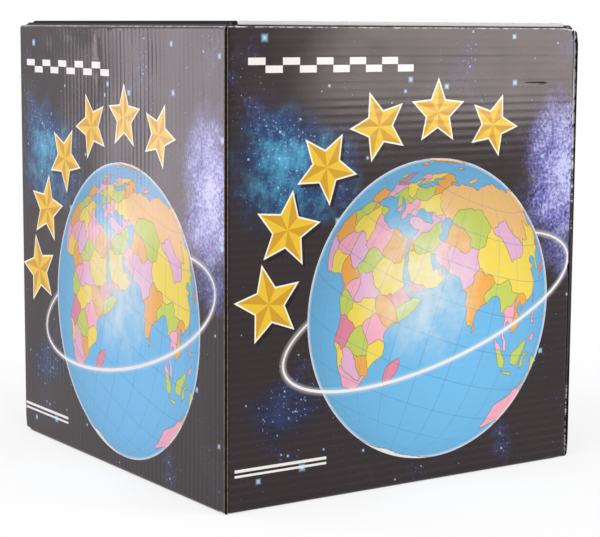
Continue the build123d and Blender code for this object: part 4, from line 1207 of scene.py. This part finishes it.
def mapBall():
    centre, radius = ballPlace()
    tilt, cap = math.radians(ball["tilt"]), ball["capLat"]
    axis = np.array((math.sin(tilt), 0, math.cos(tilt)))
    across = np.array((math.cos(tilt), 0, -math.sin(tilt)))
    axes = np.stack([across, np.cross(axis, across), axis])
    lons = np.arange(-180, 180.1, ball["grid"])
    lats = np.linspace(-cap, cap, round(2 * cap / ball["grid"]) + 1)
    outline = [(lon, -cap) for lon in lons] + [(180, lat) for lat in lats[1:]]
    outline += [(lon, cap) for lon in lons[::-1][1:]] + [(-180, lat) for lat in lats[::-1][1:-1]]
    lines = [(outline, True, False)]
    lines += [([(lon, lat)], False, False) for lon in lons[1:-1] for lat in lats[1:-1]]
    lines += [(line, closed, True) for line, closed in worldLines]
    flat, triangles, lineEdges, onLine = layOut(lines)
    # The date line's two sides become one
    key, merged = {}, np.zeros(len(flat), int)
    for i, (lon, lat) in enumerate(flat):
        merged[i] = key.setdefault((round(-180.0 if lon > 179.999 else lon, 3), round(lat, 3)), len(key))
    kept = np.zeros((len(key), 2))
    kept[merged] = flat
    points = centre + radius * mapDirection(kept + (ball["turnLon"], 0)) @ axes
    whole = np.array([len(set(face)) == 3 for face in merged[triangles].tolist()])
    poles = []
    for sign in (-1, 1):
        rim = np.flatnonzero(np.abs(kept[:, 1] - sign * cap) < 1e-3)
        poles.append(rim[np.argsort(-sign * kept[rim, 0])].tolist())
    faces = merged[triangles[whole]].tolist() + poles
    piece = newPiece("mapBall", points, faces, [mapVarnish], [0] * len(faces))
    mesh, total, count = piece.data, len(piece.data.loops), 3 * whole.sum()
    ink, mapPlace = np.ones((total, 4)), np.full((total, 3), mapPlan["gridGap"] / 2)
    lineGap = np.full(total, mapPlan["farFromLine"])
    ink[:count, :3] = np.repeat(inkTable[mapInk(flat[triangles].mean(1))[whole]], 3, axis=0)
    mapPlace[:count, :2] = flat[triangles[whole]].reshape(-1, 2)
    mapPlace[:, 2] = 1  # the map shows all over
    lineGap[:count] = cornerGaps(radius * mapDirection(flat), triangles, lineEdges, onLine)[whole].ravel()
    setAttribute(mesh, "ink", "CORNER", ink)
    setAttribute(mesh, "mapPlace", "CORNER", mapPlace)
    setAttribute(mesh, "lineGap", "CORNER", lineGap)
    mesh.polygons.foreach_set("use_smooth", [len(face) == 3 for face in faces])
    outwardFaces(mesh)
    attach(piece, "ball")
    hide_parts("north_half_shell", "south_half_shell")
    print("ball", whole.sum(), "faces")


mapBall()


# Degree marks on both faces of the meridian arm, in millimetres and degrees
ticks = {
    "First": 30.0, "Step": 5.0, "Count": 34, "Radius": 113.6, "Face": 8.0,
    "Wide": 0.5, "Thick": 0.3, "Long": 2.4, "Longer": 1.7,
}


def degreeMarks():
    tree = bpy.data.node_groups.new("degreeMarks", "GeometryNodeTree")
    add = partial(addNode, tree)
    tree.interface.new_socket("Geometry", in_out="OUTPUT", socket_type="NodeSocketGeometry")
    sockets = {}
    for key in [*ticks, "Height"]:
        kind = "NodeSocketInt" if key == "Count" else "NodeSocketFloat"
        sockets[key] = tree.interface.new_socket(key, in_out="INPUT", socket_type=kind)
    given = add("NodeGroupInput", out=None)
    index = add("GeometryNodeInputIndex")
    angle = add("Math", [index, given["Step"], given["First"]], operation="MULTIPLY_ADD")
    sine, cosine = (add("Math", [angle], operation=each) for each in ("SINE", "COSINE"))
    x = add("Math", [sine, given["Radius"]], operation="MULTIPLY")
    z = add("Math", [cosine, given["Radius"], given["Height"]], operation="MULTIPLY_ADD")
    odd = add("Math", [index, 2.0], operation="MODULO")
    stretch = add("MapRange", [odd, 0.0, 1.0, given["Longer"], 1.0])
    shape = {"Rotation": add("CombineXYZ", {1: angle}), "Scale": add("CombineXYZ", [1.0, 1.0, stretch])}
    size = add("CombineXYZ", [given["Wide"], given["Thick"], given["Long"]])
    shape["Instance"] = add("GeometryNodeMeshCube", {"Size": size})
    bars = []
    for side in (-1.0, 1.0):
        y = add("Math", [given["Face"], side], operation="MULTIPLY")
        spots = {"Count": given["Count"], "Position": add("CombineXYZ", [x, y, z])}
        spots = add("GeometryNodePoints", spots)
        bars.append(add("GeometryNodeInstanceOnPoints", {"Points": spots, **shape}))
    real = add("GeometryNodeRealizeInstances", [add("GeometryNodeJoinGeometry", [bars])])
    inked = add("GeometryNodeSetMaterial", {"Geometry": real, "Material": paleNylon})
    add("NodeGroupOutput", [inked], None)
    values = {key: value * mm for key, value in ticks.items()}
    values |= {key: math.radians(ticks[key]) for key in ("First", "Step")}
    values |= {"Count": ticks["Count"], "Longer": ticks["Longer"], "Height": ballPlace()[0][2] * mm}
    piece = bpy.data.objects.new("degreeMarks", bpy.data.meshes.new("degreeMarksSeed"))
    scene.collection.objects.link(piece)
    maker = piece.modifiers.new("degreeMarks", "NODES")
    maker.node_group = tree
    for key, value in values.items():
        maker[sockets[key].identifier] = value
    made = bpy.data.meshes.new_from_object(piece.evaluated_get(bpy.context.evaluated_depsgraph_get()))
    piece.modifiers.remove(maker)
    piece.data = made
    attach(piece, "carton")
    print("degree marks", len(made.polygons), "faces")


degreeMarks()


# CAD nodes that keep their shape
nodeFinishes = (
    (blackBoard, "bottom_panel left_inner_wall right_inner_wall"),
    (stripPrint, "left_top_strip right_top_strip"),
    (kraftLiner, "front_left_tab front_right_tab back_left_tab back_right_tab"),
    (kraftLiner, "insert_platform insert_left_leg insert_right_leg"),
    (paleNylon, "joint_ring north_bush south_bush north_washer south_washer"),
    (bandVinyl, "equator_band"),
    (blackAbs, "meridian_arm base_shell base_cover"),
    (brass, "north_knob south_knob"),
    (zincSteel, "north_pivot_pin south_pivot_pin ballast_ring"),
    (zincSteel, "post_screw base_screw_1 base_screw_2 base_screw_3"),
    (rubber, "foot_1 foot_2 foot_3 foot_4"),
)
for finish, nodeNames in nodeFinishes:
    for nodeName in nodeNames.split():
        for materialSlot in frame["nodes"][nodeName].material_slots:
            materialSlot.material = finish
print("CAD nodes finished:", sum(len(names.split()) for finish, names in nodeFinishes))


# Camera at the photograph's viewing angle, lengths in millimetres
camera = {
    "place": (-749.8, -1127.4, 320.7), "azimuth": 33.96, "down": 7.73, "roll": 0.333, "focalPixels": 1772.3,
    "imageWidth": 600, "sensor": 36.0, "clip": (0.01, 50),  # clip in metres
}


def placeCamera():
    lens = bpy.data.cameras.new("camera")
    lens.sensor_width = camera["sensor"]
    lens.lens = camera["focalPixels"] * lens.sensor_width / camera["imageWidth"]
    lens.clip_start, lens.clip_end = camera["clip"]
    eye = bpy.data.objects.new("camera", lens)
    azimuth, down, roll = (math.radians(camera[k]) for k in ("azimuth", "down", "roll"))
    ahead = Vector((math.sin(azimuth) * math.cos(down), math.cos(azimuth) * math.cos(down), -math.sin(down)))
    right = Vector((math.cos(azimuth), -math.sin(azimuth), 0))
    upward = right.cross(ahead)
    rolled = right * math.cos(roll) + upward * math.sin(roll)
    turnTo = Matrix((rolled, rolled.cross(ahead), -ahead)).transposed().to_4x4()
    eye.matrix_world = Matrix.Translation(Vector(camera["place"]) * mm) @ turnTo
    scene.collection.objects.link(eye)
    scene.camera = eye


placeCamera()


# Studio, in metres: soft panels that the film mirrors, white surround, pale floor
panels = {
    "rightPanel": {
        "at": (1.40, -1.62, 0.62), "aim": (0, -0.15, 0.3), "size": (0.76, 0.95),
        "power": 17.5, "tint": "#fff9f1",
    },
    "leftPanel": {
        "at": (-0.954, 0.869, 0.47), "aim": (-0.15, 0, 0.3), "size": (0.66, 0.96),
        "power": 6.6, "tint": "#fff3fa",
    },
    "topPanel": {
        "at": (-0.5, -0.7, 2.2), "aim": (0, 0, 0.2), "size": (1.6, 1.6),
        "power": 24, "tint": "#ffffff",
    },
}
surround = {
    "fill": 0.46, "white": "#ffffff", "floorShare": 0.3, "shadowReach": (0.2, 0.62), "floorSize": 12.0,
}


def shownRays(add):  # the rays that see the white surround
    path = add("LightPath", out=None)
    shown = add("Math", [path["Is Camera Ray"], path["Is Glossy Ray"]], operation="MAXIMUM")
    return add("Math", [shown, path["Is Transmission Ray"]], operation="MAXIMUM")


def lightStudio():
    for name, plan in panels.items():
        lamp = bpy.data.lights.new(name, "AREA")
        lamp.shape, lamp.size, lamp.size_y, lamp.energy = "RECTANGLE", *plan["size"], plan["power"]
        lamp.color = paint(plan["tint"])[:3]
        holder = bpy.data.objects.new(name, lamp)
        holder.location = plan["at"]
        holder.rotation_euler = (Vector(plan["aim"]) - Vector(plan["at"])).to_track_quat("-Z", "Y").to_euler()
        holder.visible_camera = False
        scene.collection.objects.link(holder)
    white = paint(surround["white"])
    world = bpy.data.worlds.new("surround")
    scene.world = world
    world.use_nodes = True
    world.node_tree.nodes.clear()
    add = partial(addNode, world.node_tree)
    fill, bright = (add("Background", [white, strength]) for strength in (surround["fill"], 1.0))
    add("OutputWorld", {"Surface": add("MixShader", [shownRays(add), fill, bright])}, None)

    half = surround["floorSize"] / 2
    mesh = bpy.data.meshes.new("floor")
    corners = [(-half, -half, 0), (half, -half, 0), (half, half, 0), (-half, half, 0)]
    mesh.from_pydata(corners, [], [(0, 1, 2, 3)])
    floor = bpy.data.objects.new("floor", mesh)
    scene.collection.objects.link(floor)
    finish = bpy.data.materials.new("paleFloor")
    finish.use_nodes = True
    finish.node_tree.nodes.clear()
    add = partial(addNode, finish.node_tree)
    matt = add("BsdfDiffuse", {"Color": white})
    glow = add("Emission", [white, 1.0])
    away = add("VectorMath", [add("TexCoord", out="Object")], "Value", operation="LENGTH")
    near, gone = surround["shadowReach"]
    share = add("MapRange", [away, near, gone, surround["floorShare"], 0.0], interpolation_type="SMOOTHSTEP")
    pale = add("MixShader", [share, glow, matt])
    add("OutputMaterial", {"Surface": add("MixShader", [shownRays(add), matt, pale])}, None)
    mesh.materials.append(finish)


lightStudio()
scene.view_settings.view_transform = "Standard"
print("studio lit")

bpy.context.view_layer.update()
